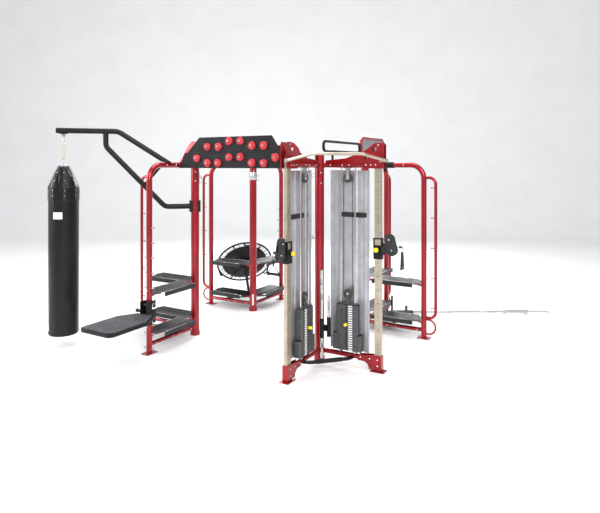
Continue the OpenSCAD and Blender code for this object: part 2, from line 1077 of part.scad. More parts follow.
module trolley(left) {
    inner_x = post_x + 2 * slide_gap;
    inner_y = post_y + 2 * slide_gap;
    color("#262628")
        bay_side(left)
            translate([bay_len, 0, trolley_z])
                difference() {
                    union() {
                        translate([0, 0, -115])
                            block(inner_x + 20, inner_y + 20, 150);
                        translate([0, 0, 100])
                            block(inner_x + 20, inner_y + 20, 15);
                        for (x = [-1, 1])
                            translate([x * (inner_x / 2 + 5), 0, 34])
                                block(10, inner_y + 20, 70);
                        for (z = [-62, 50])
                            translate([inner_x / 2 + 9, -16, z]) {
                                cube([pivot_x - inner_x / 2 - 9, 32, 10]);
                                translate([pivot_x - inner_x / 2 - 9, 16, 0])
                                    cylinder(r = 16, h = 10);
                            }
                        translate([inner_x / 2 + 9, -16, 25])
                            cube([8, 32, 30]);
                        translate([pivot_x, 0, -60])
                            cylinder(r = pivot_r, h = 118);
                        translate([0, -inner_y / 2 - 32, -10])
                            rod_y(15, 26);
                    }
                    translate([0, 0, -120])
                        block(inner_x, inner_y, 260);
                    translate([0, -100, -10])
                        rod_y(6.05, 100);
                }
}

module trolley_left() { trolley(true); }
module trolley_right() { trolley(false); }

module pull_pin(left) {
    tip = post_y / 2 + slide_gap;
    color("gold")
        bay_side(left)
            translate([bay_len, 0, trolley_z - 10]) {
                translate([0, -70, 0])
                    rod_y(6, 70 - tip);
                translate([0, -82, 0])
                    rod_y(25, 22);
                translate([0, -86, 0])
                    rod_y(17, 8);
            }
}

module pull_pin_left() { pull_pin(true); }
module pull_pin_right() { pull_pin(false); }

upper_x = 124;           // pulley axles, from the post's axis and the trolley's centre
upper_z = 102;
lower_x = 155;
lower_z = -10;
cheek_r = 62;
sheave_r = 52;
exit_x = 269;            // the eye on the cable's end
exit_z = 31;

module cheek_outline() {
    run = norm([lower_x - upper_x, lower_z - upper_z]);
    translate([upper_x, upper_z])
        circle(cheek_r);
    translate([lower_x, lower_z])
        circle(cheek_r);
    translate([upper_x, upper_z])
        rotate(atan2(lower_z - upper_z, lower_x - upper_x))
            translate([0, 2 - cheek_r])
                square([run, 2 * cheek_r - 4]);
}

module swivel(left) {
    color("#333337")
        bay_side(left)
            translate([bay_len, 0, trolley_z]) {
                difference() {
                    union() {
                        for (y = [13, -17])
                            translate([0, y + 4, 0])
                                rotate([90, 0, 0])
                                    linear_extrude(4)
                                        difference() {
                                            cheek_outline();
                                            translate([pivot_x - 397, -200])
                                                square(400);
                                            translate([pivot_x, 49.6])
                                                square([26, 11]);
                                        }
                        translate([pivot_x, 0, -51.5])
                            cylinder(r = 15, h = 101);
                        for (z = [-40, 10])
                            translate([pivot_x, -16, z])
                                cube([24, 32, 14]);
                    }
                    translate([pivot_x, 0, -60])
                        cylinder(r = pivot_r + running, h = 120);
                    for (p = [[upper_x, upper_z], [lower_x, lower_z]])
                        translate([p.x, -12.5, p.y])
                            rod_y(sheave_r + 2, 25);
                }
                for (p = [[upper_x, upper_z], [lower_x, lower_z]])
                    translate([p.x, -22, p.y])
                        rod_y(axle_r, 44);
                translate([lower_x + 40, 0, exit_z])
                    rod_x(cable_r, exit_x - lower_x - 50);
                translate([exit_x - 22, 0, exit_z])
                    sphere(13);
                translate([exit_x, 0, exit_z])
                    rotate([90, 0, 0])
                        rotate_extrude()
                            translate([8, 0])
                                circle(2.5);
            }
}

module swivel_left() { swivel(true); }
module swivel_right() { swivel(false); }

module swivel_pulley(left, x, z) {
    color("#1c1c1e")
        bay_side(left)
            translate([bay_len + x, 0, trolley_z + z])
                pulley(sheave_r);
}

module upper_pulley_left() { swivel_pulley(true, upper_x, upper_z); }
module lower_pulley_left() { swivel_pulley(true, lower_x, lower_z); }
module upper_pulley_right() { swivel_pulley(false, upper_x, upper_z); }
module lower_pulley_right() { swivel_pulley(false, lower_x, lower_z); }

carabiner_bend = 8;
carabiner_r = 2.5;

module strap_handle() {
    bay_side(false)
        translate([bay_len + exit_x, 0, trolley_z + exit_z]) {
            color("silver")
                link(58, carabiner_bend, carabiner_r);
            color("#151515") {
                translate([0, 0, -130])
                    block(5, 26, 76);
                translate([0, 0, -215])
                    block(9, 34, 90);
                translate([0, -27, -224])
                    rod_y(17, 54);
            }
        }
}

module d_handle() {
    grip = 140;
    drop = 190;
    bay_side(true)
        translate([bay_len + exit_x, 0, trolley_z + exit_z]) {
            color("silver")
                link(76, carabiner_bend, carabiner_r);
            color("#151515") {
                translate([0, 0, -128])
                    block(6, 16, 54);
                for (side = [-1, 1])
                    translate([0, 0, -124])
                        rotate([side * 42, 0, 0])
                            translate([0, 0, -96])
                                cylinder(r = 4, h = 96);
                translate([0, -grip / 2, -drop - 20])
                    rod_y(14, grip);
                for (side = [-1, 1])
                    translate([0, side * (grip / 2 - 6) - 5, -drop - 20])
                        rod_y(19, 10);
            }
        }
}

// Bar across the front of the bay. It lies on a line parallel to the one through the two posts.
bar_out = 120;           // its distance in front of that line
bar_grip_z = 2367;
bar_end_z = 2298;
bar_flat = 540;          // length of its level middle
bar_r = 16;

module pull_up_bar() {
    mid = bay_len / 2 + bar_out * sqrt(0.5);
    reach = 545;
    drop = bar_grip_z - bar_end_z;
    color(champagne) {
        translate([mid, -mid, bar_grip_z])
            rotate(45) {
                bent_bar(rounded([[-reach, -drop], [-bar_flat / 2, 0], [bar_flat / 2, 0],
                    [reach, -drop]], 24), bar_r);
                for (x = [-150, 150])
                    translate([x, 0, 0])
                        rod_y(14, 120);
            }
        for (left = [false, true])
            bay_side(left)
                translate([bay_len + 36, -gusset_y - gap - 34, bar_end_z - 18])
                    cube([90, 34, 36]);
    }
}

foot_bar_x = 420;
foot_bar_r = 24;

module foot_bar() {
    start = 70;
    near = bay_beam_r + gap;
    color("#202022") {
        difference() {
            translate([0, 0, 108])
                rotate([90, 0, 0])
                    bent_bar(rounded([[foot_bar_x, near], [foot_bar_x, start], [start, foot_bar_x],
                        [near, foot_bar_x]], 60), 20);
            for (arm = bay_arms)
                on_arm(arm)
                    translate([0, 0, bay_beam_z])
                        rod_x(bay_beam_r + gap, bay_len);
        }
        translate([foot_bar_x / 2 + start / 2, -foot_bar_x / 2 - start / 2, 108])
            rotate(45)
                translate([-150, 0, 0])
                    rotate([0, 90, 0])
                        cylinder(r = foot_bar_r, h = 300);
    }
}

holder_a = [64, -68];    // plan position of the long bar
holder_b = [142, -46];   // plan position of the short bar
holder_r = 25;

module bar_holder() {
    color("#202022")
        difference() {
            union() {
                translate([holder_a.x, holder_a.y, 280])
                    cylinder(r = holder_r, h = 220);
                translate([holder_b.x, holder_b.y, 300])
                    cylinder(r = holder_r - 2, h = 220);
                translate([holder_a.x - 6, holder_a.y + 4, 360])
                    cube([80, 26, 70]);
                translate([hub_r - 14, -64, 360])
                    cube([26, 46, 70]);
                translate([holder_a.x, holder_a.y, 0])
                    cylinder(r = 24, h = 48);
            }
            translate([0, 0, -1])
                cylinder(r = hub_r + 9 + gap, h = 60);
            translate([0, 0, -1])
                cylinder(r = hub_r + gap, h = 900);
            translate([holder_a.x, holder_a.y, 26])
                cylinder(r = 20, h = 900);
            translate([holder_b.x, holder_b.y, 316])
                cylinder(r = 17, h = 600);
        }
}

module long_bar() {
    color("silver")
        translate([holder_a.x, holder_a.y, 27]) {
            cylinder(r = 18, h = 1020);
            translate([0, 0, 1020])
                cylinder(r1 = 18, r2 = 14, h = 6);
        }
}

module short_bar() {
    color("silver")
        translate([holder_b.x, holder_b.y, 317]) {
            cylinder(r = 15, h = 410);
            translate([0, 0, 410])
                cylinder(r = 11, h = 30);
            translate([0, 0, 448])
                sphere(13);
        }
}

// ---------------------------------------------------------------- over the cage

module rounded_loop(width, height, corner, r, w) {
    legs = [for (i = [0 : 3]) [(i % 2 == 0 ? width : height) - 2 * corner, 90, corner]];
    translate([corner, 0, 0])
        standing()
            pipe(legs, r, w);
}

module overhead_frame() {
    frame_r = 17;
    low_z = 2415;
    color("#202022") {
        translate([0, 100, low_z])
            rotate(90)
                rounded_loop(1060, 118, 50, frame_r, wall);
        for (y = [340, 980])
            translate([0, y, top_z + beam_r + gap]) {
                block(44, 90, 10);
                cylinder(r = 14, h = low_z - frame_r - top_z - beam_r + 1);
            }
        translate([0, grid_y, top_z])
            difference() {
                translate([130, 0, 0])
                    rod_x(upright_r + 7, 290);
                translate([100, 0, 0])
                    rod_x(upright_r + gap, 400);
            }
        translate([275, grid_y - 12, top_z - upright_r - 55])
            cube([36, 24, 52]);
    }
}

module target_frame() {
    tube_z = 2322;
    foot_z = top_z + upright_r + gap;
    color(red) {
        translate([0, 1215, tube_z])
            rotate(90)
                rounded_loop(830, 300, 90, 20, wall);
        for (y = [1502, 1880])
            translate([0, y, foot_z])
                block(36, 60, tube_z - 17 - foot_z);
    }
    color("gray")
        translate([-6, 1215 + 21, tube_z + 21])
            cube([12, 830 - 42, 300 - 42]);
}

// ---------------------------------------------------------------- rebounder

rebound_s = 800;         // distance of its middle from the back hub
rebound_z = 610;
rebound_tilt = 53;
rebound_r = 452;
tilt_s = 722;            // its tilt axis
tilt_z = 551;

module at_rebounder() {
    on_arm([hub_back, 135])
        translate([rebound_s, 0, rebound_z])
            rotate([0, rebound_tilt, 0])
                children();
}

module rebounder_frame() {
    color("#202022") {
        at_rebounder() {
            rotate_extrude()
                translate([rebound_r, 0])
                    circle(14);
            for (a = [30 : 60 : 330])
                rotate(a)
                    translate([45, 0, -32])
                        rod_x(10, rebound_r - 58);
            for (a = [0 : 60 : 300])
                rotate(a + 30)
                    translate([rebound_r - 12, 0, -34])
                        cylinder(r = 11, h = 26);
            for (a = [60 : 120 : 300])
                rotate(a)
                    translate([rebound_r - 3, 0, -8])
                        rotate([90, 0, 90])
                            rotate(180)
                                rotate_extrude(angle = 180)
                                    translate([58, 0])
                                        circle(12);
            translate([0, 0, -62])
                cylinder(r = 60, h = 43);
        }
        difference() {
            union() {
                at_rebounder()
                    translate([-22, -18, -98])
                        cube([44, 36, 38]);
                on_arm([hub_back, 135])
                    translate([tilt_s, -20, tilt_z])
                        rod_y(26, 40);
            }
            on_arm([hub_back, 135])
                translate([tilt_s, -30, tilt_z])
                    rod_y(9 + running, 60);
        }
    }
}

module rebounder_mat() {
    color("#151515")
        at_rebounder()
            translate([0, 0, -4])
                cylinder(r = rebound_r - 15, h = 8);
}

cross_low = low_beam_z + low_beam_r + gap;

// Brackets on the crossing beams of two corners: the rebounder's stand and the landmine's base
module corner_mounts() {
    lean = atan2(tilt_s - 340, tilt_z - cross_low);
    color("#202022") {
        on_arm([hub_back, 135])
            difference() {
                union() {
                    translate([340, 0, cross_low])
                        block(70, 720, 8);
                    translate([340, 0, cross_low])
                        rotate([0, lean, 0])
                            cylinder(r = 22, h = norm([tilt_s - 340, tilt_z - cross_low]) - 40);
                    for (y = [-34, 22])
                        translate([tilt_s, y, tilt_z])
                            rod_y(24, 12);
                    translate([340, 0, cross_low])
                        rotate([0, lean, 0])
                            translate([0, 0, 470])
                                block(40, 68, 70);
                    translate([tilt_s, -40, tilt_z])
                        rod_y(9, 80);
                }
                translate([tilt_s, -21, tilt_z])
                    difference() {
                        rod_y(70, 42);
                        rod_y(9, 42);
                    }
                translate([0, 0, -1])
                    linear_extrude(cross_low + 1)
                        square(1200, center = true);
            }
        on_arm([hub_right, 45]) {
            translate([370, 0, cross_low])
                block(150, 560, 8);
            translate([405, 0, cross_low])
                cylinder(r = 30, h = 22);
            translate([405, 0, cross_low])
                cylinder(r = 14, h = 290);
        }
    }
}

pitch_s = 470;           // landmine's pitch axis
pitch_z = 185;
sleeve_r = 25;
sleeve_bore = 22;        // where the bore of the landmine's sleeve starts
sleeve_l = 415;
grip_l = 360;            // thin grip on the bar's far end
tip_r = 17;
bar_reach = sleeve_bore + 1 + sleeve_l + shaft_l + sleeve_l + grip_l;
bar_tilt = asin((pitch_z - tip_r - 1) / bar_reach);

module landmine_swivel() {
    color("#202022")
        on_arm([hub_right, 45]) {
            difference() {
                union() {
                    translate([405, 0, cross_low + 23])
                        cylinder(r = 24, h = 64);
                    for (y = [-42, 34])
                        translate([400, y, pitch_z - 22])
                            cube([70, 8, 44]);
                    translate([400, -42, pitch_z - 22])
                        cube([26, 84, 44]);
                    for (y = [-42, 34])
                        translate([pitch_s, y, pitch_z])
                            rod_y(22, 8);
                }
                translate([405, 0, 0])
                    cylinder(r = 14 + running, h = 600);
            }
            translate([pitch_s, -46, pitch_z])
                rod_y(9, 92);
        }
}

module at_pitch() {
    on_arm([hub_right, 45])
        translate([pitch_s, 0, pitch_z])
            rotate([0, bar_tilt, 0])
                children();
}

module landmine_sleeve() {
    color("#4a4a4c")
        at_pitch()
            difference() {
                union() {
                    translate([12, 0, 0])
                        rod_x(32, 236);
                    translate([0, -30, 0])
                        rod_y(20, 60);
                    translate([0, -14, -14])
                        cube([30, 28, 28]);
                    for (z = [[-72, 42], [30, 66]])
                        translate([150, 0, z[0]])
                            cylinder(r = 18, h = z[1]);
                }
                translate([sleeve_bore, 0, 0])
                    rod_x(sleeve_r + running, 400);
                translate([0, -50, 0])
                    rod_y(9 + running, 100);
            }
}

module olympic_bar() {
    shaft_start = sleeve_bore + 1 + sleeve_l;
    far_sleeve = shaft_start + shaft_l;
    end = far_sleeve + sleeve_l;
    color("silver")
        at_pitch() {
            translate([sleeve_bore + 1, 0, 0])
                rod_x(sleeve_r, sleeve_l);
            translate([shaft_start, 0, 0])
                rod_x(37, 14);
            translate([shaft_start, 0, 0])
                rod_x(14, shaft_l);
            translate([far_sleeve, 0, 0])
                rod_x(37, 14);
            translate([far_sleeve, 0, 0])
                rod_x(sleeve_r, sleeve_l);
            translate([end - 60, 0, 0])
                rod_x(32, 40);
            translate([end, 0, 0])
                rod_x(12, grip_l);
            translate([end + grip_l, 0, 0])
                sphere(tip_r);
        }
}

// ---------------------------------------------------------------- small hardware

module climbing_peg() {
    peg_l = 38;
    for (side = [-1, 1])
        translate([0, side * (upright_r + gap), 0])
            rotate([-90 * side, 0, 0]) {
                cylinder(r = peg_r, h = peg_l);
                translate([0, 0, peg_l - 6])
                    cylinder(r = peg_r + 3, h = 6);
            }
}

// Open wire hook on a hub post's side
module wire_hook() {
    translate([0, 0, 0])
        rod_x(3, 22);
    translate([22, 0, -20])
        rotate([90, 0, 0])
            rotate(-90)
                rotate_extrude(angle = 180)
                    translate([20, 0])
                        circle(3);
    translate([-4 + 6, 0, -40])
        rod_x(3, 20);
}

module hub_clip() {
    translate([-2, -16, -70])
        cube([6, 32, 140]);
    for (z = [-62, 10])
        translate([0, -12, z])
            cube([34, 24, 8]);
    translate([26, -12, -10])
        cube([8, 24, 50]);
}

module hub_hooks() {
    color("silver") {
        for (arm = peg_arms)
            on_arm(arm)
                for (i = [0 : peg_count - 1])
                    translate([arm_len, 0, peg_low + i * peg_pitch])
                        climbing_peg();
        difference() {
            union() {
                translate([hub_left.x, 0, 2070])
                    rotate(35)
                        translate([hub_r, 0, 0])
                            hub_clip();
                translate([hub_back.x, grid_y, 2070])
                    rotate(35)
                        translate([hub_r, 0, 0])
                            hub_clip();
                translate([0, 0, 2150])
                    rotate(-140)
                        translate([hub_r - 1, 0, 0])
                            wire_hook();
            }
            hub_clearance();
        }
    }
    color("#202022")
        difference() {
            rotate(-140)
                translate([hub_r - 1, 0, 1420]) {
                    rod_x(14, 34);
                    translate([28, 0, -26])
                        cylinder(r = 9, h = 52);
                }
            hub_clearance();
        }
}

hub_posts();
end_uprights();
top_beams();
bottom_beams();
side_rails();
foot_plates();
frame_bolts();
shelf_trays();
shelf_brackets();
bag_boom();
bag_swivel();
bag_hanger();
heavy_bag();
step_deck();
step_tread();
step_pop_pin();
climbing_boards();
climbing_holds();
gusset_plates();
bay_posts();
stack_shrouds();
guide_rods();
pulley_brackets();
top_pulley_left();
top_pulley_right();
resting_plates();
stack_left();
stack_right();
selector_left();
selector_right();
stack_pulley_left();
stack_pulley_right();
lift_cable_left();
lift_cable_right();
trolley_left();
trolley_right();
pull_pin_left();
pull_pin_right();
swivel_left();
swivel_right();
upper_pulley_left();
lower_pulley_left();
upper_pulley_right();
lower_pulley_right();
strap_handle();
d_handle();
pull_up_bar();
foot_bar();
bar_holder();
long_bar();
short_bar();
overhead_frame();
target_frame();
rebounder_frame();
rebounder_mat();
corner_mounts();
landmine_swivel();
landmine_sleeve();
olympic_bar();
hub_hooks();
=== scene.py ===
import bpy
import bmesh
import math
import random
from mathutils import Matrix, Vector


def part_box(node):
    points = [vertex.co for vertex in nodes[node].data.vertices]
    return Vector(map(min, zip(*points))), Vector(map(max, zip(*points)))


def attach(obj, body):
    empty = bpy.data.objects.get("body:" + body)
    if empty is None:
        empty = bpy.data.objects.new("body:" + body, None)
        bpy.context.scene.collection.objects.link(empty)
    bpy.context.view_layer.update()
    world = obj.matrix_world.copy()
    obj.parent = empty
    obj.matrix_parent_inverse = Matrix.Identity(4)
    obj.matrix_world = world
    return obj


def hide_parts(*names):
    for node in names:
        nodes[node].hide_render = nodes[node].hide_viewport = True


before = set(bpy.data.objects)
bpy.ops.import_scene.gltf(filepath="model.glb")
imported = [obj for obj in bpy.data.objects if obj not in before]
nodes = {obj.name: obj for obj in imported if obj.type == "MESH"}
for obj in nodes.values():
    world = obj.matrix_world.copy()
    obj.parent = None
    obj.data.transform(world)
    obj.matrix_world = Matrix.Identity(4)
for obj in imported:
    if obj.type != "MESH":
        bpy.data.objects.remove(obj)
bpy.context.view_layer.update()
scene = bpy.context.scene
rng = random.Random(7)

# ---------------------------------------------------------------- shared sizes and places, metres
H1, H2, H3 = (-1.865, 0.0), (-1.865, 1.352), (0.0, 1.352)
HUB_R = 0.054
BEAM_Z = 2.250
POST_X = 0.724
TROLLEY_Z = 1.341
HOLE_PITCH = 0.147
STACK_X = 0.360
STACK_LOW = 0.178
PLATE_PITCH = 0.0254
PLATE_COUNT = 20
RESTING_PLATES = 11

CAMERA_AT = (2.874, -5.513, 2.25)
CAMERA_LOOK = (-0.4943, 0.8693, 0)
CAMERA_LENS = 32.19
CAMERA_SHIFT = -0.1525

# ---------------------------------------------------------------- camera
cam_data = bpy.data.cameras.new("camera")
cam_data.sensor_width = 36.0
cam_data.lens = CAMERA_LENS
cam_data.shift_y = CAMERA_SHIFT
cam_data.clip_start = 0.05
cam_data.clip_end = 120
cam = bpy.data.objects.new("camera", cam_data)
scene.collection.objects.link(cam)
cam.location = CAMERA_AT
cam.rotation_mode = "QUATERNION"
cam.rotation_quaternion = Vector(CAMERA_LOOK).to_track_quat("-Z", "Y")
scene.camera = cam
scene.view_settings.view_transform = "Standard"

# ---------------------------------------------------------------- materials


class Nodes:
    """A material being wired up."""

    def __init__(self, name):
        self.mat = bpy.data.materials.new(name)
        self.mat.use_nodes = True
        self.tree = self.mat.node_tree
        self.bsdf = self.tree.nodes["Principled BSDF"]
        self.coord = self.tree.nodes.new("ShaderNodeTexCoord")

    def add(self, kind, **values):
        n = self.tree.nodes.new(kind)
        for key, value in values.items():
            setattr(n, key, value)
        return n

    def link(self, a, b):
        self.tree.links.new(a, b)

    def place(self, scale):
        """Object coordinates times scale, one number or three."""
        m = self.add("ShaderNodeMapping")
        s = scale if hasattr(scale, "__len__") else (scale,) * 3
        m.inputs["Scale"].default_value = s
        self.link(self.coord.outputs["Object"], m.inputs["Vector"])
        return m.outputs["Vector"]

    def noise(self, scale, detail=3.0, rough=0.55):
        n = self.add("ShaderNodeTexNoise")
        n.inputs["Scale"].default_value = 1.0
        n.inputs["Detail"].default_value = detail
        n.inputs["Roughness"].default_value = rough
        self.link(self.place(scale), n.inputs["Vector"])
        return n.outputs["Fac"]

    def ramp(self, fac, a, b):
        """A soft step from colour a to colour b about the middle of fac."""
        r = self.add("ShaderNodeValToRGB")
        r.color_ramp.elements[0].position = 0.35
        r.color_ramp.elements[1].position = 0.65
        r.color_ramp.elements[0].color = (*a, 1)
        r.color_ramp.elements[1].color = (*b, 1)
        self.link(fac, r.inputs["Fac"])
        return r.outputs["Color"]

    def spread(self, fac, lo, hi):
        """fac from 0 to 1 as a value from lo to hi."""
        m = self.add("ShaderNodeMapRange")
        m.inputs["To Min"].default_value = lo
        m.inputs["To Max"].default_value = hi
        self.link(fac, m.inputs["Value"])
        return m.outputs["Result"]

    def mix(self, fac, a, b):
        """Colour a where fac is 0 and b where it is 1, each a socket or an RGB triple."""
        m = self.add("ShaderNodeMix", data_type="RGBA")
        self.link(fac, m.inputs[0])
        for socket, value in ((m.inputs[6], a), (m.inputs[7], b)):
            if hasattr(value, "is_linked"):
                self.link(value, socket)
            else:
                socket.default_value = (*value, 1)
        return m.outputs[2]

    def bump(self, heights, strength, distance):
        """Adds one bump before those already in the shader's normal."""
        b = self.add("ShaderNodeBump")
        b.inputs["Strength"].default_value = strength
        b.inputs["Distance"].default_value = distance
        self.link(heights, b.inputs["Height"])
        if self.bsdf.inputs["Normal"].is_linked:
            self.link(self.bsdf.inputs["Normal"].links[0].from_socket, b.inputs["Normal"])
        self.link(b.outputs["Normal"], self.bsdf.inputs["Normal"])

    def wave(self, scale, axis):
        """Sine bands across an axis."""
        w = self.add("ShaderNodeTexWave", bands_direction=axis)
        w.inputs["Scale"].default_value = 1.0
        self.link(self.place(scale), w.inputs["Vector"])
        return w.outputs["Fac"]


def coated(name, dark, light, metallic, rough, coat=0.0, grain=900, grain_depth=0.00012,
           mottle=9.0, specular=0.5):
    """Paint, powder coat or metal: soft mottling, uneven gloss and a fine grain."""
    m = Nodes(name)
    m.link(m.ramp(m.noise(mottle, 4), dark, light), m.bsdf.inputs["Base Color"])
    m.link(m.spread(m.noise(mottle * 2.7, 5), rough * 0.8, rough * 1.25), m.bsdf.inputs["Roughness"])
    m.bsdf.inputs["Metallic"].default_value = metallic
    m.bsdf.inputs["Coat Weight"].default_value = coat
    m.bsdf.inputs["Coat Roughness"].default_value = 0.08
    m.bsdf.inputs["Specular IOR Level"].default_value = specular
    m.bump(m.noise(grain, 2), 0.35, grain_depth)
    return m


M = {}
M["red"] = coated("red_powder", (0.26, 0.002, 0.007), (0.35, 0.004, 0.010), 0.70, 0.30, 0.6).mat
M["champagne"] = coated("champagne", (0.40, 0.34, 0.265), (0.50, 0.435, 0.345), 0.85, 0.30, 0.15).mat
M["black"] = coated("black_powder", (0.004, 0.004, 0.0045), (0.008, 0.008, 0.009), 0.0, 0.40, 0.0,
                    grain=500, grain_depth=0.0003, specular=0.22).mat
M["dark"] = coated("swivel_grey", (0.016, 0.017, 0.019), (0.026, 0.027, 0.030), 0.1, 0.36, specular=0.4).mat
M["steel"] = coated("zinc_steel", (0.48, 0.49, 0.51), (0.66, 0.67, 0.69), 1.0, 0.26, mottle=60).mat
M["chrome"] = coated("chrome", (0.58, 0.56, 0.52), (0.70, 0.68, 0.64), 1.0, 0.14, mottle=30,
                     grain_depth=0.00003).mat
M["pulley"] = coated("pulley_grey", (0.030, 0.031, 0.034), (0.048, 0.049, 0.053), 0.0, 0.42,
                     mottle=40).mat
M["sleeve"] = coated("sleeve_grey", (0.055, 0.056, 0.062), (0.085, 0.086, 0.094), 0.3, 0.36).mat
M["yellow"] = coated("yellow_knob", (0.74, 0.56, 0.008), (0.84, 0.66, 0.015), 0.0, 0.24, 0.3,
                     mottle=50).mat
M["plastic"] = coated("black_plastic", (0.010, 0.010, 0.011), (0.018, 0.018, 0.020), 0.0, 0.45,
                      grain=1400, grain_depth=0.0002).mat
M["cable"] = coated("cable_black", (0.008, 0.008, 0.009), (0.014, 0.014, 0.015), 0.0, 0.22,
                    mottle=80).mat
M["label"] = coated("label_white", (0.70, 0.70, 0.69), (0.80, 0.80, 0.79), 0.0, 0.5, mottle=120).mat
M["rubber"] = coated("rubber", (0.012, 0.012, 0.013), (0.024, 0.024, 0.026), 0.0, 0.62,
                     grain=700, grain_depth=0.0004).mat


# Painted shade line in the weight stacks' gaps: how far below each plate's foot it starts, and its share of
# the plate pitch
SHADE_LINE_DROP = 0.0016
SHADE_LINE_SHARE = 0.13


def plate_mat():
    """Textured paint, with painted shade: a near-black line in the gap under each plate's rounded edge."""
    m = coated("plate_paint", (0.050, 0.051, 0.055), (0.085, 0.086, 0.090), 0.0, 0.50,
               grain=420, grain_depth=0.0006, mottle=25)
    paint = m.bsdf.inputs["Base Color"].links[0].from_socket
    split = m.add("ShaderNodeSeparateXYZ")
    m.link(m.coord.outputs["Object"], split.inputs[0])
    steps = []
    for operation, value in (("SUBTRACT", STACK_LOW - SHADE_LINE_DROP), ("DIVIDE", PLATE_PITCH), ("FRACT", 0.0),
                             ("LESS_THAN", SHADE_LINE_SHARE)):
        n = m.add("ShaderNodeMath", operation=operation)
        n.inputs[1].default_value = value
        m.link(steps[-1].outputs[0] if steps else split.outputs["Z"], n.inputs[0])
        steps.append(n)
    # Painted shade: near-black mixed over the paint along each plate's gap line
    m.link(m.mix(steps[-1].outputs[0], paint, (0.004, 0.004, 0.004)), m.bsdf.inputs["Base Color"])
    return m.mat


M["weight"] = plate_mat()
M["gunmetal"] = coated("gunmetal", (0.28, 0.28, 0.29), (0.42, 0.42, 0.43), 0.9, 0.34, mottle=50).mat
M["panel"] = coated("panel_grey", (0.20, 0.21, 0.22), (0.27, 0.28, 0.29), 0.3, 0.42, mottle=14).mat


def shroud_metal():
    """Silver sheet, brushed."""
    m = coated("silver_sheet", (0.42, 0.43, 0.46), (0.52, 0.53, 0.56), 0.55, 0.38, grain=1000)
    m.bump(m.wave((60, 60, 0), "DIAGONAL"), 0.12, 0.0006)
    return m.mat


def board_mat():
    """Black textured board: a coarse grain over a fine one."""
    m = coated("board", (0.005, 0.005, 0.006), (0.010, 0.010, 0.011), 0.0, 0.62,
               grain=260, grain_depth=0.0012, specular=0.25)
    m.bump(m.noise(90, 5), 0.35, 0.0008)
    return m.mat


def tread_mat():
    """Ribbed rubber."""
    m = coated("tread", (0.050, 0.051, 0.056), (0.085, 0.086, 0.092), 0.0, 0.60,
               grain=600, grain_depth=0.0004)
    m.bump(m.wave((0, 230, 0), "Y"), 0.5, 0.0015)
    return m.mat


def vinyl_mat():
    """Glossy black vinyl with long soft creases and short sharp ones."""
    m = coated("bag_vinyl", (0.003, 0.003, 0.0035), (0.006, 0.006, 0.007), 0.0, 0.30, 0.0,
               grain=300, grain_depth=0.0005, mottle=7, specular=0.28)
    m.bump(m.noise((9, 9, 1.6), 5, 0.6), 0.55, 0.010)
    m.bump(m.noise((40, 40, 9), 4, 0.6), 0.35, 0.0018)
    return m.mat


def woven(name, dark, light, count, rough=0.8):
    """Cloth: two crossed waves make the weave, with soft uneven wear."""
    m = Nodes(name)
    a = m.wave((count, 0, count), "X")
    b = m.wave((0, count, count), "Y")
    m.link(m.mix(m.noise(14, 4), dark, light), m.bsdf.inputs["Base Color"])
    m.link(m.spread(m.noise(30, 4), rough * 0.85, min(1.0, rough * 1.15)), m.bsdf.inputs["Roughness"])
    m.bsdf.inputs["Metallic"].default_value = 0.0
    m.bump(a, 0.5, 0.0006)
    m.bump(b, 0.5, 0.0006)
    return m.mat


def knurl_mat():
    """Steel cut with two crossed sets of fine grooves."""
    m = coated("knurled_steel", (0.42, 0.43, 0.45), (0.60, 0.61, 0.63), 1.0, 0.30, mottle=80)
    m.bump(m.wave((420, 420, 420), "X"), 0.6, 0.0008)
    m.bump(m.wave((420, -420, 420), "Y"), 0.6, 0.0008)
    return m.mat


M["tray"] = coated("charcoal_sheet", (0.008, 0.008, 0.009), (0.016, 0.016, 0.018), 0.0, 0.42,
                   grain=650, grain_depth=0.0004, specular=0.4).mat
M["shroud"] = shroud_metal()
M["board"] = board_mat()
M["hold"] = coated("hold_resin", (0.38, 0.020, 0.027), (0.50, 0.038, 0.045), 0.0, 0.58,
                   grain=420, grain_depth=0.0010, mottle=22, specular=0.35).mat
M["tread"] = tread_mat()
M["vinyl"] = vinyl_mat()
M["webbing"] = woven("webbing_black", (0.010, 0.010, 0.011), (0.022, 0.022, 0.024), 900)
M["strap_pale"] = woven("webbing_pale", (0.42, 0.39, 0.33), (0.55, 0.52, 0.45), 900)
M["mat"] = woven("mat_weave", (0.006, 0.006, 0.007), (0.014, 0.014, 0.016), 520, 0.6)
M["bungee"] = woven("bungee_white", (0.55, 0.55, 0.55), (0.75, 0.75, 0.74), 1500)
M["knurl"] = knurl_mat()

NODE_MATERIAL = {
    "red": "hub_posts end_uprights top_beams bottom_beams side_rails foot_plates gusset_plates"
           " target_frame shelf_brackets",
    "champagne": "bay_posts pull_up_bar",
    "black": "bag_boom foot_bar bar_holder overhead_frame rebounder_frame corner_mounts"
             " trolley_left trolley_right landmine_swivel step_deck d_handle",
    "tray": "shelf_trays",
    "shroud": "stack_shrouds",
    "gunmetal": "hub_hooks",
    "steel": "frame_bolts bag_swivel pulley_brackets bag_hanger strap_handle",
    "chrome": "guide_rods long_bar short_bar olympic_bar",
    "weight": "resting_plates stack_left stack_right",
    "pulley": "top_pulley_left top_pulley_right stack_pulley_left stack_pulley_right"
              " upper_pulley_left lower_pulley_left upper_pulley_right lower_pulley_right",
    "dark": "swivel_left swivel_right",
    "sleeve": "landmine_sleeve",
    "yellow": "selector_left selector_right pull_pin_left pull_pin_right",
    "plastic": "step_pop_pin",
    "tread": "step_tread",
    "cable": "lift_cable_left lift_cable_right",
    "board": "climbing_boards",
    "hold": "climbing_holds",
    "vinyl": "heavy_bag",
    "mat": "rebounder_mat",
}
for key, names in NODE_MATERIAL.items():
    for name in names.split():
        mesh = nodes[name].data
        mesh.materials.clear()
        mesh.materials.append(M[key])

# ---------------------------------------------------------------- mesh helpers


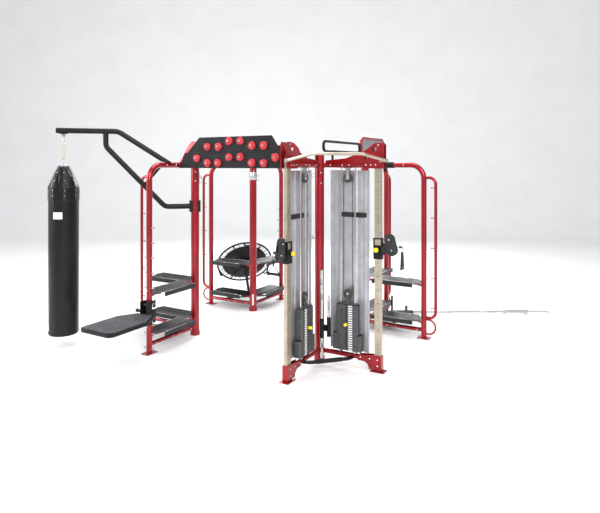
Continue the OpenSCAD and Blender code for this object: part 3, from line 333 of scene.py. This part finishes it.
class Builder:
    """Collects vertices and faces in metres, then makes one object that rides on a body."""

    def __init__(self, place=None):
        self.v, self.f, self.m, self.s = [], [], [], []
        self.place = place or Matrix.Identity(4)

    def face(self, idx, mat=0, smooth=True):
        self.f.append(idx)
        self.m.append(mat)
        self.s.append(smooth)

    def points(self, pts):
        start = len(self.v)
        self.v.extend(self.place @ Vector(p) for p in pts)
        return start

    def loft(self, rings, mat=0, closed=False, caps=True, smooth=True):
        """Rings of the same number of points, joined in order."""
        n = len(rings[0])
        at = [self.points(r) for r in rings]
        pairs = list(zip(at, at[1:]))
        if closed:
            pairs.append((at[-1], at[0]))
        for a, b in pairs:
            for i in range(n):
                j = (i + 1) % n
                self.face([a + i, a + j, b + j, b + i], mat, smooth)
        if caps and not closed:
            self.face([at[0] + i for i in reversed(range(n))], mat, False)
            self.face([at[-1] + i for i in range(n)], mat, False)

    def tube(self, path, r, segs=10, mat=0, closed=False):
        """A round tube along points; r is one radius or one per point."""
        pts = [Vector(p) for p in path]
        k = len(pts)
        rings = []
        normal = None
        for i, p in enumerate(pts):
            a = pts[i - 1] if (i or closed) else pts[0]
            b = pts[(i + 1) % k] if (i < k - 1 or closed) else pts[-1]
            t = (b - a).normalized()
            if normal is None:
                helper = Vector((0, 0, 1)) if abs(t.z) < 0.9 else Vector((1, 0, 0))
                normal = t.cross(helper).normalized()
            normal = (normal - t * normal.dot(t)).normalized()
            side = t.cross(normal)
            rad = r[i] if hasattr(r, "__len__") else r
            rings.append([p + (normal * math.cos(q) + side * math.sin(q)) * rad
                          for q in (2 * math.pi * j / segs for j in range(segs))])
        self.loft(rings, mat, closed)

    def lathe(self, profile, segs=32, mat=0, caps=True):
        """Profile [(r, z), ...] turned about local Z."""
        self.loft([[(r * math.cos(q), r * math.sin(q), z)
                    for q in (2 * math.pi * j / segs for j in range(segs))]
                   for r, z in profile], mat, False, caps)

    def box(self, lo, hi, mat=0, edge=0.0008):
        """A box with all its edges chamfered."""
        x0, y0, z0 = lo
        x1, y1, z1 = hi
        e = min(edge, (x1 - x0) / 3, (y1 - y0) / 3, (z1 - z0) / 3)

        def ring(inset, z):
            a, b, c, d = x0 + inset, y0 + inset, x1 - inset, y1 - inset
            return [(a + e, b, z), (c - e, b, z), (c, b + e, z), (c, d - e, z), (c - e, d, z),
                    (a + e, d, z), (a, d - e, z), (a, b + e, z)]
        self.loft([ring(e, z0), ring(0, z0 + e), ring(0, z1 - e), ring(e, z1)], mat, smooth=False)

    def torus(self, R, r, mat=0, segs=40, sides=8, z=0.0):
        """A ring about local Z, of radius R and thickness 2 r, at height z."""
        self.tube([(R * math.cos(2 * math.pi * i / segs), R * math.sin(2 * math.pi * i / segs), z)
                   for i in range(segs)], r, sides, mat, True)

    def wrapped(self, r, degrees, z0, z1):
        """A plain 1 mm label bent round local Z at radius r, through the given angles."""
        turns = [math.radians(d) for d in degrees]
        self.loft([[((r + t) * math.cos(q), (r + t) * math.sin(q), z)
                    for t, qs in ((0, turns), (0.001, turns[::-1])) for q in qs]
                   for z in (z0, z1)], smooth=False)

    def make(self, name, body, mats, replaces=()):
        """The finished piece. mats are keys of M, and replaces the CAD nodes that it stands for."""
        mesh = bpy.data.meshes.new(name)
        mesh.from_pydata([tuple(p) for p in self.v], [], self.f)
        for key in mats:
            mesh.materials.append(M[key])
        mesh.polygons.foreach_set("material_index", self.m)
        mesh.polygons.foreach_set("use_smooth", self.s)
        mesh.update()
        bm = bmesh.new()
        bm.from_mesh(mesh)
        bmesh.ops.recalc_face_normals(bm, faces=bm.faces)
        bm.to_mesh(mesh)
        bm.free()
        o = bpy.data.objects.new(name, mesh)
        scene.collection.objects.link(o)
        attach(o, body)
        if replaces:
            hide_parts(*replaces)
        return o


def arm(hub, degrees):
    """Local +X out along an arm from a hub, metres."""
    return Matrix.Translation(Vector((*hub, 0))) @ Matrix.Rotation(math.radians(degrees), 4, "Z")


ARMS = {"bag": (H1, 270), "left": (H1, 180), "back_left": (H2, 180), "back": (H2, 90),
        "right": (H3, 0), "far": (H3, 90)}
MIRROR = Matrix(((0, -1, 0, 0), (-1, 0, 0, 0), (0, 0, 1, 0), (0, 0, 0, 1)))
BAY = {"right": Matrix.Identity(4), "left": MIRROR}


def move(x, y, z):
    return Matrix.Translation(Vector((x, y, z)))


def turn(degrees, axis):
    return Matrix.Rotation(math.radians(degrees), 4, axis)


def islands(name):
    """The loose parts of a CAD node, as lists of world points."""
    mesh = nodes[name].data
    weld = {}
    same = [weld.setdefault(tuple(round(c, 5) for c in v.co), v.index) for v in mesh.vertices]
    root = {i: i for i in set(same)}

    def find(i):
        while root[i] != i:
            root[i] = root[root[i]]
            i = root[i]
        return i
    for p in mesh.polygons:
        vs = [same[i] for i in p.vertices]
        for other in vs[1:]:
            root[find(other)] = find(vs[0])
    groups = {}
    for i in root:
        groups.setdefault(find(i), []).append(mesh.vertices[i].co.copy())
    return [groups[k] for k in sorted(groups)]


def box_of(points):
    return (Vector([min(p[i] for p in points) for i in range(3)]),
            Vector([max(p[i] for p in points) for i in range(3)]))


def rounded_path(points, r, steps=6):
    """A polyline with its inner corners rounded."""
    pts = [Vector(p) for p in points]
    out = [pts[0]]
    for a, b, c in zip(pts, pts[1:], pts[2:]):
        u, w = (a - b), (c - b)
        d = min(r, u.length * 0.45, w.length * 0.45)
        p0, p1 = b + u.normalized() * d, b + w.normalized() * d
        for i in range(steps + 1):
            t = i / steps
            out.append(p0 * (1 - t) ** 2 + b * 2 * t * (1 - t) + p1 * t ** 2)
    out.append(pts[-1])
    return out


def link_path(h, bend, z=0.0, steps=8):
    """Centre line of a closed steel link that hangs from z, in the local YZ plane."""
    top = [(0, bend * math.cos(q), z - bend + bend * math.sin(q))
           for q in (math.pi * i / steps for i in range(steps + 1))]
    low = [(0, -bend * math.cos(q), z - h + bend - bend * math.sin(q))
           for q in (math.pi * i / steps for i in range(steps + 1))]
    return top + low


# ---------------------------------------------------------------- heavy bag
BOOM = arm(H1, 225) @ move(1.618, 0, 0)
BAG_R, BAG_LOW, BAG_TOP, BAG_NECK = 0.180, 0.150, 1.976, 2.238
NECK_R = 0.068
BAG_SEGS, BAG_ROWS = 96, 120
CONE_ROWS = 12
BAG_SLACK = 0.0045
BAG_BULGE = 0.004
CLOTH_FRAMES = 25
CLOTH = {"quality": 5, "mass": 0.8, "tension_stiffness": 60, "compression_stiffness": 40,
         "shear_stiffness": 15, "bending_stiffness": 1.5, "shrink_min": -0.012, "use_pressure": True,
         "uniform_pressure_force": 1.2, "vertex_group_mass": "pin"}


def bag_surface(quick):
    """The bag's vinyl side: cloth under the filling's pressure, held at both rims."""
    segs, rows = BAG_SEGS, BAG_ROWS
    verts, faces, pins = [], [], []
    for j in range(rows + 1):
        t = j / rows
        z = BAG_LOW + 0.012 + (BAG_TOP - BAG_LOW - 0.02) * t
        for i in range(segs):
            q = 2 * math.pi * i / segs
            folds = 0.0016 * math.sin(q * 9 + 3.1 * math.sin(z * 2.3)) \
                + 0.0012 * math.sin(q * 23 + 5.0 * math.sin(z * 1.7 + 1)) \
                + 0.0010 * math.sin(q * 5 - z * 2.1 + 0.8)
            r = BAG_R - BAG_SLACK + folds * (0.35 + 0.65 * t)
            verts.append((r * math.cos(q), r * math.sin(q), z))
            if j == 0 or j == rows:
                pins.append(len(verts) - 1)
    for j in range(rows):
        for i in range(segs):
            k = (i + 1) % segs
            a = j * segs
            faces.append((a + i, a + k, a + segs + k, a + segs + i))
    mesh = bpy.data.meshes.new("bag_skin")
    mesh.from_pydata(verts, [], faces)
    o = bpy.data.objects.new("bag_skin", mesh)
    scene.collection.objects.link(o)
    if quick:
        return o
    group = o.vertex_groups.new(name="pin")
    group.add(pins, 1.0, "REPLACE")
    cloth = o.modifiers.new("cloth", "CLOTH")
    for key, value in CLOTH.items():
        setattr(cloth.settings, key, value)
    cloth.collision_settings.use_collision = False
    for f in range(1, CLOTH_FRAMES + 1):
        scene.frame_set(f)
    dg = bpy.context.evaluated_depsgraph_get()
    settled = bpy.data.meshes.new_from_object(o.evaluated_get(dg))
    o.modifiers.clear()
    o.vertex_groups.clear()
    o.data = settled
    scene.frame_set(1)
    limit = BAG_R + BAG_BULGE
    for v in o.data.vertices:
        d = math.hypot(v.co.x, v.co.y)
        if d > limit:
            v.co.x *= limit / d
            v.co.y *= limit / d
    return o


def cone_radius(t, inset):
    """Radius of the bag's cone, from the shoulder at 0 to the neck at 1."""
    return BAG_R - inset - (BAG_R - NECK_R) * t ** 1.15


bag = bag_surface(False)
bm = bmesh.new()
bm.from_mesh(bag.data)
bm.verts.ensure_lookup_table()
rim_low = [bm.verts[i] for i in range(BAG_SEGS)]
rim_top = [bm.verts[len(bm.verts) - BAG_SEGS + i] for i in range(BAG_SEGS)]


def carry_on(bm, rim, rings, fold):
    """Continues the skin from a rim through (radius, height) rings and closes it with a disc."""
    last = rim
    for step, (r, z) in enumerate(rings):
        new = []
        for i in range(len(rim)):
            q = 2 * math.pi * i / len(rim)
            rr = r + fold * math.sin(q * 12 + 0.6 * step) * (r > 0.03)
            new.append(bm.verts.new((rr * math.cos(q), rr * math.sin(q), z)))
        for i in range(len(rim)):
            k = (i + 1) % len(rim)
            bm.faces.new((last[i], last[k], new[k], new[i]))
        last = new
    bm.faces.new(last)


carry_on(bm, rim_low, [(BAG_R - 0.008, BAG_LOW + 0.004), (BAG_R - 0.018, BAG_LOW),
                       (0.10, BAG_LOW - 0.001), (0.04, BAG_LOW)], 0.0004)
cone = [(BAG_R - 0.006, BAG_TOP - 0.004)]
for i in range(1, CONE_ROWS + 1):
    t = i / CONE_ROWS
    cone.append((cone_radius(t, 0.010), BAG_TOP + (BAG_NECK - 0.012 - BAG_TOP) * t))
carry_on(bm, rim_top, cone, 0.0035)
bmesh.ops.recalc_face_normals(bm, faces=bm.faces)
bm.to_mesh(bag.data)
bm.free()
bag.data.materials.clear()
bag.data.materials.append(M["vinyl"])
for p in bag.data.polygons:
    p.use_smooth = True
bag.data.transform(BOOM)
bag.name = "heavy_bag_skin"
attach(bag, "bag")
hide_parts("heavy_bag")

# Straps over the cone, their rivets, the seams, the rings at the neck and a plain patch
STRAPS = 8
STRAP_T, STRAP_HALF = 0.003, 0.013
STRAP_LEG, STRAP_SHOULDER = 0.16, 0.35


def strap_at(t, lift, inset):
    """Radius and height along a strap, from its foot on the bag's side at 0 to the neck at 1."""
    if t < STRAP_SHOULDER:
        return BAG_R + lift, BAG_TOP - STRAP_LEG + STRAP_LEG * t / STRAP_SHOULDER
    on_cone = (t - STRAP_SHOULDER) / (1 - STRAP_SHOULDER)
    return cone_radius(on_cone, inset), BAG_TOP + (BAG_NECK - BAG_TOP) * on_cone


b = Builder(BOOM)
for k in range(STRAPS):
    q = 2 * math.pi * k / STRAPS + 0.2
    out = Vector((math.cos(q), math.sin(q), 0))
    across = Vector((-math.sin(q), math.cos(q), 0)) * STRAP_HALF
    rings = []
    for i in range(15):
        r, z = strap_at(i / 14, 0.0008, STRAP_T)
        at = Vector((0, 0, z))
        rings.append([at + out * r - across, at + out * r + across,
                      at + out * (r + STRAP_T) + across, at + out * (r + STRAP_T) - across])
    b.loft(rings, 0, smooth=False)
    for t in (0.12, 0.27, 0.55, 0.8):
        r, z = strap_at(t, STRAP_T, 0)
        b.place = BOOM @ turn(math.degrees(q), "Z") @ move(r, 0, z) @ turn(90, "Y")
        b.lathe([(0.0055, 0), (0.0055, 0.0012), (0.0035, 0.0024)], 12, 1)
        b.place = BOOM
for z in (BAG_LOW + 0.035, BAG_TOP - 0.165, BAG_TOP - 0.004):
    b.torus(BAG_R + 0.0005, 0.0022, 0, 64, 6, z)
b.place = BOOM @ move(0, 0, BAG_NECK)
b.torus(0.052, 0.006, 1, 40, 8, -0.004)
for k in range(STRAPS):
    b.place = BOOM @ turn(k * 360 / STRAPS, "Z") @ move(0.050, 0, BAG_NECK + 0.006) @ turn(90, "X")
    b.torus(0.0110, 0.0024, 1, 20, 8, 0)
b.make("bag_straps", "bag", ["webbing", "steel"])

b = Builder(BOOM)
b.wrapped(BAG_R + 0.0042, (60, 68, 77, 86, 94), 1.590, 1.673)
b.make("bag_patch", "bag", ["label"])

# Hanger: two steel links and a doubled webbing strap
b = Builder(BOOM @ turn(90, "Z"))
b.tube(link_path(0.0340, 0.012, 2.5296), 0.004, 10, 0, True)
b.place = BOOM
b.tube(link_path(0.068, 0.016, 2.320), 0.004, 10, 0, True)
b.make("bag_links", "bag_link", ["steel"])
b = Builder(BOOM)
HANGER_Z, HANGER_HALF_W, HANGER_T = 2.405, 0.020, 0.0016
rings = []
for i in range(49):
    q = 2 * math.pi * i / 48
    y = 0.0062 * math.sin(q)
    z = HANGER_Z + 0.094 * math.cos(q)
    outer_y, outer_z = y + HANGER_T * math.sin(q), z + HANGER_T * math.cos(q)
    rings.append([(-HANGER_HALF_W, y * 0.75, z), (HANGER_HALF_W, y * 0.75, z),
                  (HANGER_HALF_W, outer_y, outer_z), (-HANGER_HALF_W, outer_y, outer_z)])
b.loft(rings, 0, closed=True, smooth=False)
for z in (HANGER_Z - 0.070, HANGER_Z + 0.070):
    b.box((-0.0205, -0.0085, z - 0.006), (0.0205, 0.0085, z + 0.006), 0)
strap = b.make("bag_strap", "bag_link", ["strap_pale"], ["bag_hanger"])

# ---------------------------------------------------------------- rebounder mat and cords
REBOUNDER = arm(H2, 135) @ move(0.800, 0, 0.610) @ turn(53, "Y")
MAT_R, MAT_T, MAT_SAG, MAT_SEGS = 0.372, 0.0022, 0.003, 72
CORDS = 60

b = Builder(REBOUNDER)
rings = []
for r in (0.001, 0.08, 0.16, 0.24, 0.32, MAT_R):
    z = -MAT_SAG * (1 - (r / MAT_R) ** 2)
    rings.append([(r * math.cos(q), r * math.sin(q), z)
                  for q in (2 * math.pi * i / MAT_SEGS for i in range(MAT_SEGS))])
under = [[(x, y, z - MAT_T) for x, y, z in ring] for ring in reversed(rings)]
b.loft(rings + under, 0)
b.torus(MAT_R, 0.0045, 1, MAT_SEGS, 8, -0.001)
mat_piece = b.make("rebounder_mat_cloth", "rebounder", ["mat", "webbing"], ["rebounder_mat"])
b = Builder(REBOUNDER)
for k in range(CORDS):
    q = 2 * math.pi * k / CORDS
    inner = Vector((0.370 * math.cos(q), 0.370 * math.sin(q), 0))
    for side in (-1, 1):
        on_ring = q + side * math.pi / CORDS
        outer = Vector((0.452 * math.cos(on_ring), 0.452 * math.sin(on_ring), 0.016))
        below = Vector((0.468 * math.cos(on_ring), 0.468 * math.sin(on_ring), 0.0))
        b.tube(rounded_path([inner, outer, below], 0.012, 4), 0.0042, 6, k % 2)
b.make("rebounder_cords", "rebounder", ["bungee", "plastic"])

# ---------------------------------------------------------------- handles
STRAP_HANDLE = move(0.993, 0, TROLLEY_Z + 0.031)
b = Builder(STRAP_HANDLE)
b.tube(link_path(0.058, 0.008), 0.0025, 10, 0, True)
b.make("strap_carabiner", "strap_handle", ["steel"])
b = Builder(STRAP_HANDLE)
half_w, half_t = 0.014, 0.0015
for side in (-1, 1):
    rings = []
    for i in range(21):
        t = i / 20
        y = side * (0.004 + 0.020 * t ** 1.3)
        z = -0.051 - 0.158 * t
        rings.append([(-half_w, y - half_t, z), (half_w, y - half_t, z),
                      (half_w, y + half_t, z), (-half_w, y + half_t, z)])
    b.loft(rings, 0, smooth=False)
b.box((-0.0145, -0.008, -0.098), (0.0145, 0.008, -0.074), 0)
loop = b.make("strap_webbing_piece", "strap_handle", ["webbing"], ["strap_handle"])
b = Builder(STRAP_HANDLE @ move(0, 0, -0.224) @ turn(90, "X"))
b.lathe([(0.006, -0.030), (0.013, -0.029), (0.0165, -0.026), (0.0165, -0.012), (0.0172, 0.0),
         (0.0165, 0.012), (0.0165, 0.026), (0.013, 0.029), (0.006, 0.030)], 28, 0)
for z in (-0.0275, 0.0275):
    b.torus(0.0168, 0.0012, 1, 28, 6, z)
b.make("strap_grip", "strap_handle", ["rubber", "steel"])

# ---------------------------------------------------------------- cables at the trolleys
SHEAVES = {"upper": (0.124, 0.102), "lower": (0.155, -0.010)}
WRAP_R, CABLE_R = 0.0535, 0.003


def wrap(sheave, first, step, count):
    """Points of the cable round a sheave of the swivel housing, by degrees."""
    x, z = SHEAVES[sheave]
    return [Vector((x + WRAP_R * math.cos(q), 0, z + WRAP_R * math.sin(q)))
            for q in (math.radians(first + i * step) for i in range(count))]


for side in ("left", "right"):
    b = Builder(BAY[side] @ move(POST_X, 0, TROLLEY_Z))
    b.tube(wrap("lower", -100, 10, 16), CABLE_R, 8)
    b.tube(wrap("upper", 160, -10, 20), CABLE_R, 8)
    b.tube([Vector((0.205, 0, 0.031)), Vector((0.259, 0, 0.031))], 0.0032, 8)
    b.place = b.place @ move(0.247, 0, 0.031) @ turn(90, "Y")
    b.lathe([(0.004, -0.014), (0.0115, -0.010), (0.0136, 0), (0.0115, 0.010), (0.004, 0.014)], 24, 1)
    b.make(f"swivel_cable_{side}", f"swivel_{side}", ["cable", "rubber"])

# ---------------------------------------------------------------- weight stacks
for side in ("left", "right"):
    lo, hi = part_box(f"stack_{side}")
    front = hi.x if side == "left" else -lo.y
    for group, plates in (("resting_plates", range(RESTING_PLATES)),
                          (f"stack_{side}", range(RESTING_PLATES, PLATE_COUNT))):
        b = Builder(BAY[side])
        for i in plates:
            z = STACK_LOW + PLATE_PITCH * i + PLATE_PITCH / 2
            b.box((STACK_X + 0.022, -front - 0.0006, z - 0.0068),
                  (STACK_X + 0.072, -front + 0.0004, z + 0.0078), 0)
            b.place = BAY[side] @ move(STACK_X, -front - 0.0002, z - 0.00025) @ turn(90, "X")
            b.lathe([(0.0056, -0.0004), (0.0098, -0.0002), (0.0098, 0.0007), (0.0056, 0.0009)],
                    20, 1, False)
            b.place = BAY[side]
        body = "frame" if group == "resting_plates" else f"stack_{side}"
        b.make(f"plate_labels_{group}_{side}", body, ["label", "plastic"])

# ---------------------------------------------------------------- climbing holds
b = Builder()
HOLD_ROWS, HOLD_SEGS = 12, 32
HOLD_FILL = 0.5 * 0.97
for k, points in enumerate(islands("climbing_holds")):
    lo, hi = box_of(points)
    c, size = (lo + hi) / 2, hi - lo
    back = hi.y
    waist = 0.0 if k % 3 else 0.55 * 0.24
    tilt = rng.uniform(-0.6, 0.6)
    rings = []
    for j in range(HOLD_ROWS + 1):
        t = j / HOLD_ROWS
        shrink = max(0.12, (1 - t ** 3.2) ** 0.42)
        dish = 0.14 * size.y * math.exp(-((t - 1) * 3.2) ** 2) * (t > 0.5)
        ring = []
        for i in range(HOLD_SEGS):
            q = 2 * math.pi * i / HOLD_SEGS
            wobble = 1 + 0.05 * math.sin(3 * q + k) + 0.03 * math.sin(5 * q + 2.1 * k)
            wobble *= 1 - waist * max(0.0, math.cos(q - tilt - 1.57)) ** 2
            ring.append((c.x + size.x * HOLD_FILL * wobble * shrink * math.cos(q),
                         back - size.y * t + dish,
                         c.z + size.z * HOLD_FILL * wobble * shrink * math.sin(q)))
        rings.append(ring)
    b.loft(rings, 0)
    b.place = move(c.x, back - size.y * 0.88, c.z) @ turn(90, "X")
    b.lathe([(0.010, -0.004), (0.0125, -0.002), (0.0125, 0.004), (0.0085, 0.0065), (0.0045, 0.0065),
             (0.004, 0.003)], 20, 1)
    b.place = Matrix.Identity(4)
b.make("climbing_grips", "frame", ["hold", "gunmetal"], ["climbing_holds"])

# ---------------------------------------------------------------- trays: pressed lines and lighter lips
TRAY_LEVELS = (0.222, 0.700)
TRAY_HALF, TRAY_FLAT, TRAY_RISE = 0.145, 0.022, 0.028
b = Builder()
for hub, angle in ARMS.values():
    for z in TRAY_LEVELS:
        b.place = arm(hub, angle) @ move(0, 0, z)
        for y in (-0.105, -0.070, -0.040, 0.040, 0.070, 0.105):
            rise = TRAY_RISE * max(0.0, (abs(y) - TRAY_FLAT) / (TRAY_HALF - TRAY_FLAT))
            b.tube([(0.190, y, rise + 0.0002), (0.660, y, rise + 0.0002)], 0.0022, 6)
        for y in (-0.1446, 0.1446):
            b.tube([(0.160, y, 0.0278), (0.708, y, 0.0278)], 0.0020, 6, 1)
b.make("tray_lines", "frame", ["tray", "steel"])

# ---------------------------------------------------------------- weld beads and caps
WELD_SEGS = 40
b = Builder()
for hub, angle in list(ARMS.values()) + [((0, 0), 270), ((0, 0), 0)]:
    for r, z, reach in ((0.036, BEAM_Z, 0.057), (0.026, 0.105, 0.056)):
        b.place = arm(hub, angle) @ move(reach, 0, z) @ turn(90, "Y")
        pts = []
        for i in range(WELD_SEGS):
            q = 2 * math.pi * i / WELD_SEGS
            sink = HUB_R - math.sqrt(max(0.0, HUB_R ** 2 - (r * math.sin(q)) ** 2))
            pts.append((r * math.cos(q), r * math.sin(q), -sink))
        b.tube(pts, [0.0026 + 0.0006 * math.sin(i * 3.7) for i in range(WELD_SEGS)], 6, 0, True)
b.make("weld_beads", "frame", ["red"])
b = Builder()
for (x, y), top in (((0, 0), 2.362), (H1, 2.292), (H2, 2.292), (H3, 2.292)):
    b.place = move(x, y, top)
    b.lathe([(HUB_R, 0.0), (HUB_R + 0.0005, 0.002), (0.052, 0.005), (0.044, 0.0065), (0.010, 0.007)],
            40)
b.make("post_caps", "frame", ["plastic"])
b = Builder(arm(H1, 225) @ move(1.700, 0, 2.680) @ turn(90, "Y"))
b.lathe([(0.034, 0.0), (0.0345, 0.002), (0.031, 0.006), (0.01, 0.007)], 32)
b.make("boom_cap", "frame", ["plastic"])

# ---------------------------------------------------------------- plates and strips with no lettering
b = Builder()
for side in ("left", "right"):
    b.place = BAY[side]
    b.box((0.250, 0.0640, 1.660), (0.560, 0.0656, 1.715), 0, 0.0006)
b.make("shroud_bands", "frame", ["plastic"])

# ---------------------------------------------------------------- knurled bands on the bars
b = Builder()
BAR_DROP, BAR_REACH = 0.167, 2.523
tilt = math.degrees(math.asin(BAR_DROP / BAR_REACH))
b.place = arm(H3, 45) @ move(0.470, 0, 0.185) @ turn(tilt, "Y") @ turn(90, "Y")
for lo_x, hi_x in ((0.60, 0.86), (1.34, 1.60)):
    b.lathe([(0.0136, lo_x), (0.0143, lo_x + 0.002), (0.0143, hi_x - 0.002), (0.0136, hi_x)], 28)
b.make("bar_knurl", "olympic_bar", ["knurl"])
for body, x, y, r, bands in (("long_bar", 0.064, -0.068, 0.0182, ((0.72, 0.80), (0.88, 0.96))),
                             ("short_bar", 0.142, -0.046, 0.0152, ((0.60, 0.70),))):
    b = Builder(move(x, y, 0))
    for lo_z, hi_z in bands:
        b.lathe([(r - 0.0006, lo_z), (r, lo_z + 0.002), (r, hi_z - 0.002), (r - 0.0006, hi_z)], 28)
    b.make(f"{body}_knurl", body, ["knurl"])

# ---------------------------------------------------------------- step tread pattern
b = Builder(arm(H1, 270))
STUD_ROWS, STUD_PITCH_X, STUD_PITCH_Y = 22, 0.030, 0.0255
for i in range(STUD_ROWS):
    x = 0.930 + i * STUD_PITCH_X
    half = min(0.215, 0.112 + max(0.0, x - 0.896) / 0.210 * 0.12)
    for j in range(int(half / STUD_PITCH_Y)):
        for s in (-1, 1):
            y = s * (0.014 + j * STUD_PITCH_Y)
            by_hook_slot = 0.030 < abs(y) < 0.068 and x < 0.935
            if not by_hook_slot:
                b.box((x, y - 0.0085, 0.4795), (x + 0.013, y + 0.0085, 0.4840), 0, 0.0012)
b.make("tread_studs", "step", ["tread"])

# ---------------------------------------------------------------- bay post holes, bolts, collar, panel
# Painted shade: a flat black disc on the post face at each hole stands in for the shaded inside of the hole
b = Builder()
for side in ("left", "right"):
    for i in range(13):
        b.place = BAY[side] @ move(POST_X, -0.0186, 0.302 + HOLE_PITCH * i) @ turn(90, "X")
        b.lathe([(0.0068, -0.0010), (0.0068, 0.0008), (0.001, 0.0008)], 16)
b.make("post_hole_shade_discs", "frame", ["plastic"])
for side in ("left", "right"):
    b = Builder()
    for x, z in SHEAVES.values():
        for s in (-1, 1):
            b.place = BAY[side] @ move(POST_X + x, s * 0.0218, TROLLEY_Z + z) @ turn(-90 * s, "X")
            b.lathe([(0.0105, 0), (0.0105, 0.0010), (0.0085, 0.0014), (0.0085, 0.0050), (0.0065, 0.0062),
                     (0.0030, 0.0062)], 6)
    b.make(f"swivel_bolts_{side}", f"swivel_{side}", ["steel"])
    for body, z in ((f"stack_{side}", 0.803), ("frame", 2.107)):
        b = Builder()
        for s in (-1, 1):
            b.place = BAY[side] @ move(STACK_X, s * 0.0202, z) @ turn(-90 * s, "X")
            b.lathe([(0.0150, 0), (0.0150, 0.0012), (0.0105, 0.0016), (0.0105, 0.0050),
                     (0.0040, 0.0058)], 6)
        b.make(f"axle_bolts_{body}_{side}", body, ["steel"])
b = Builder(move(*H2, 0))
b.lathe([(0.0545, 2.020), (0.0562, 2.022), (0.0562, 2.138), (0.0545, 2.140)], 40)
for z in (2.045, 2.080, 2.115):
    b.torus(0.0566, 0.0014, 0, 40, 6, z)
b.make("hub_collar", "frame", ["steel"])
b = Builder()
b.place = move(*H2, 0) @ turn(-58, "Z")
b.wrapped(HUB_R + 0.0005, (-14, -7, 0, 7, 14), 0.090, 0.260)
b.make("plain_strip", "frame", ["label"])
b = Builder()
b.box((-0.0072, 1.241, 2.348), (0.0072, 2.019, 2.596), 0, 0.002)
b.box((-0.0080, 1.270, 2.375), (0.0080, 1.990, 2.382), 0)
b.box((-0.0080, 1.270, 2.562), (0.0080, 1.990, 2.569), 0)
for y in (1.27, 1.45, 1.63, 1.81, 1.99):
    for z in (2.362, 2.582):
        for s in (-1, 1):
            b.place = move(s * 0.0070, y, z) @ turn(90 * s, "Y")
            b.lathe([(0.0062, 0), (0.0062, 0.0018), (0.0040, 0.0030)], 12, 1)
b.place = Matrix.Identity(4)
b.make("target_panel", "frame", ["panel", "steel"])
b = Builder()
b.box((-1.56, -0.3362, 2.396), (-0.42, -0.3342, 2.412), 0)
b.make("board_joint", "frame", ["board"])

# ---------------------------------------------------------------- studio
# The floor turns up into the back wall, square to the camera's view
floor_mat = coated("floor", (0.80, 0.80, 0.80), (0.83, 0.83, 0.83), 0.0, 0.55, grain=60,
                   grain_depth=0.0002, mottle=1.2, specular=0.2).mat
sweep = bpy.data.meshes.new("floor")
FLOOR_FRONT, FLOOR_BACK, SWEEP_R, WALL_TOP, FLOOR_HALF = -14.0, 9.0, 3.0, 12.0, 22.0
profile = [(FLOOR_FRONT, 0.0), (FLOOR_BACK, 0.0)]
for i in range(1, 13):
    q = math.pi / 2 * i / 12
    profile.append((FLOOR_BACK + SWEEP_R * math.sin(q), SWEEP_R - SWEEP_R * math.cos(q)))
profile.append((FLOOR_BACK + SWEEP_R, WALL_TOP))
verts = [(x, y, z) for y, z in profile for x in (-FLOOR_HALF, FLOOR_HALF)]
sweep.from_pydata(verts, [], [(2 * i, 2 * i + 1, 2 * i + 3, 2 * i + 2) for i in range(len(profile) - 1)])
sweep.materials.append(floor_mat)
for p in sweep.polygons:
    p.use_smooth = True
floor = bpy.data.objects.new("floor", sweep)
scene.collection.objects.link(floor)
floor.rotation_euler = (0, 0, math.radians(29.62))
floor.location = (-1.0, 0.6, -0.001)

world = bpy.data.worlds.new("studio")
world.use_nodes = True
world.node_tree.nodes["Background"].inputs["Color"].default_value = (0.95, 0.97, 1.0, 1)
world.node_tree.nodes["Background"].inputs["Strength"].default_value = 0.78
scene.world = world


def lamp(name, where, at, size, power, tint=(1, 1, 1)):
    """A soft rectangular lamp aimed at a point."""
    data = bpy.data.lights.new(name, "AREA")
    data.shape = "RECTANGLE"
    data.size, data.size_y = size
    data.energy = power
    data.color = tint
    o = bpy.data.objects.new(name, data)
    scene.collection.objects.link(o)
    o.location = where
    o.rotation_mode = "QUATERNION"
    o.rotation_quaternion = (Vector(at) - Vector(where)).to_track_quat("-Z", "Y")


lamp("key", (5.5, -6.5, 6.0), (-0.9, 0.4, 1.1), (4.0, 4.0), 760, (1.0, 0.98, 0.95))
lamp("fill", (-7.0, -5.0, 4.0), (-0.9, 0.4, 1.1), (4.5, 4.5), 470, (0.95, 0.97, 1.0))
lamp("top", (-1.0, 0.6, 7.5), (-1.0, 0.6, 0.0), (6.0, 5.0), 380)
lamp("rim", (-3.5, 7.0, 5.0), (-0.9, 0.4, 1.2), (4.0, 3.0), 420)
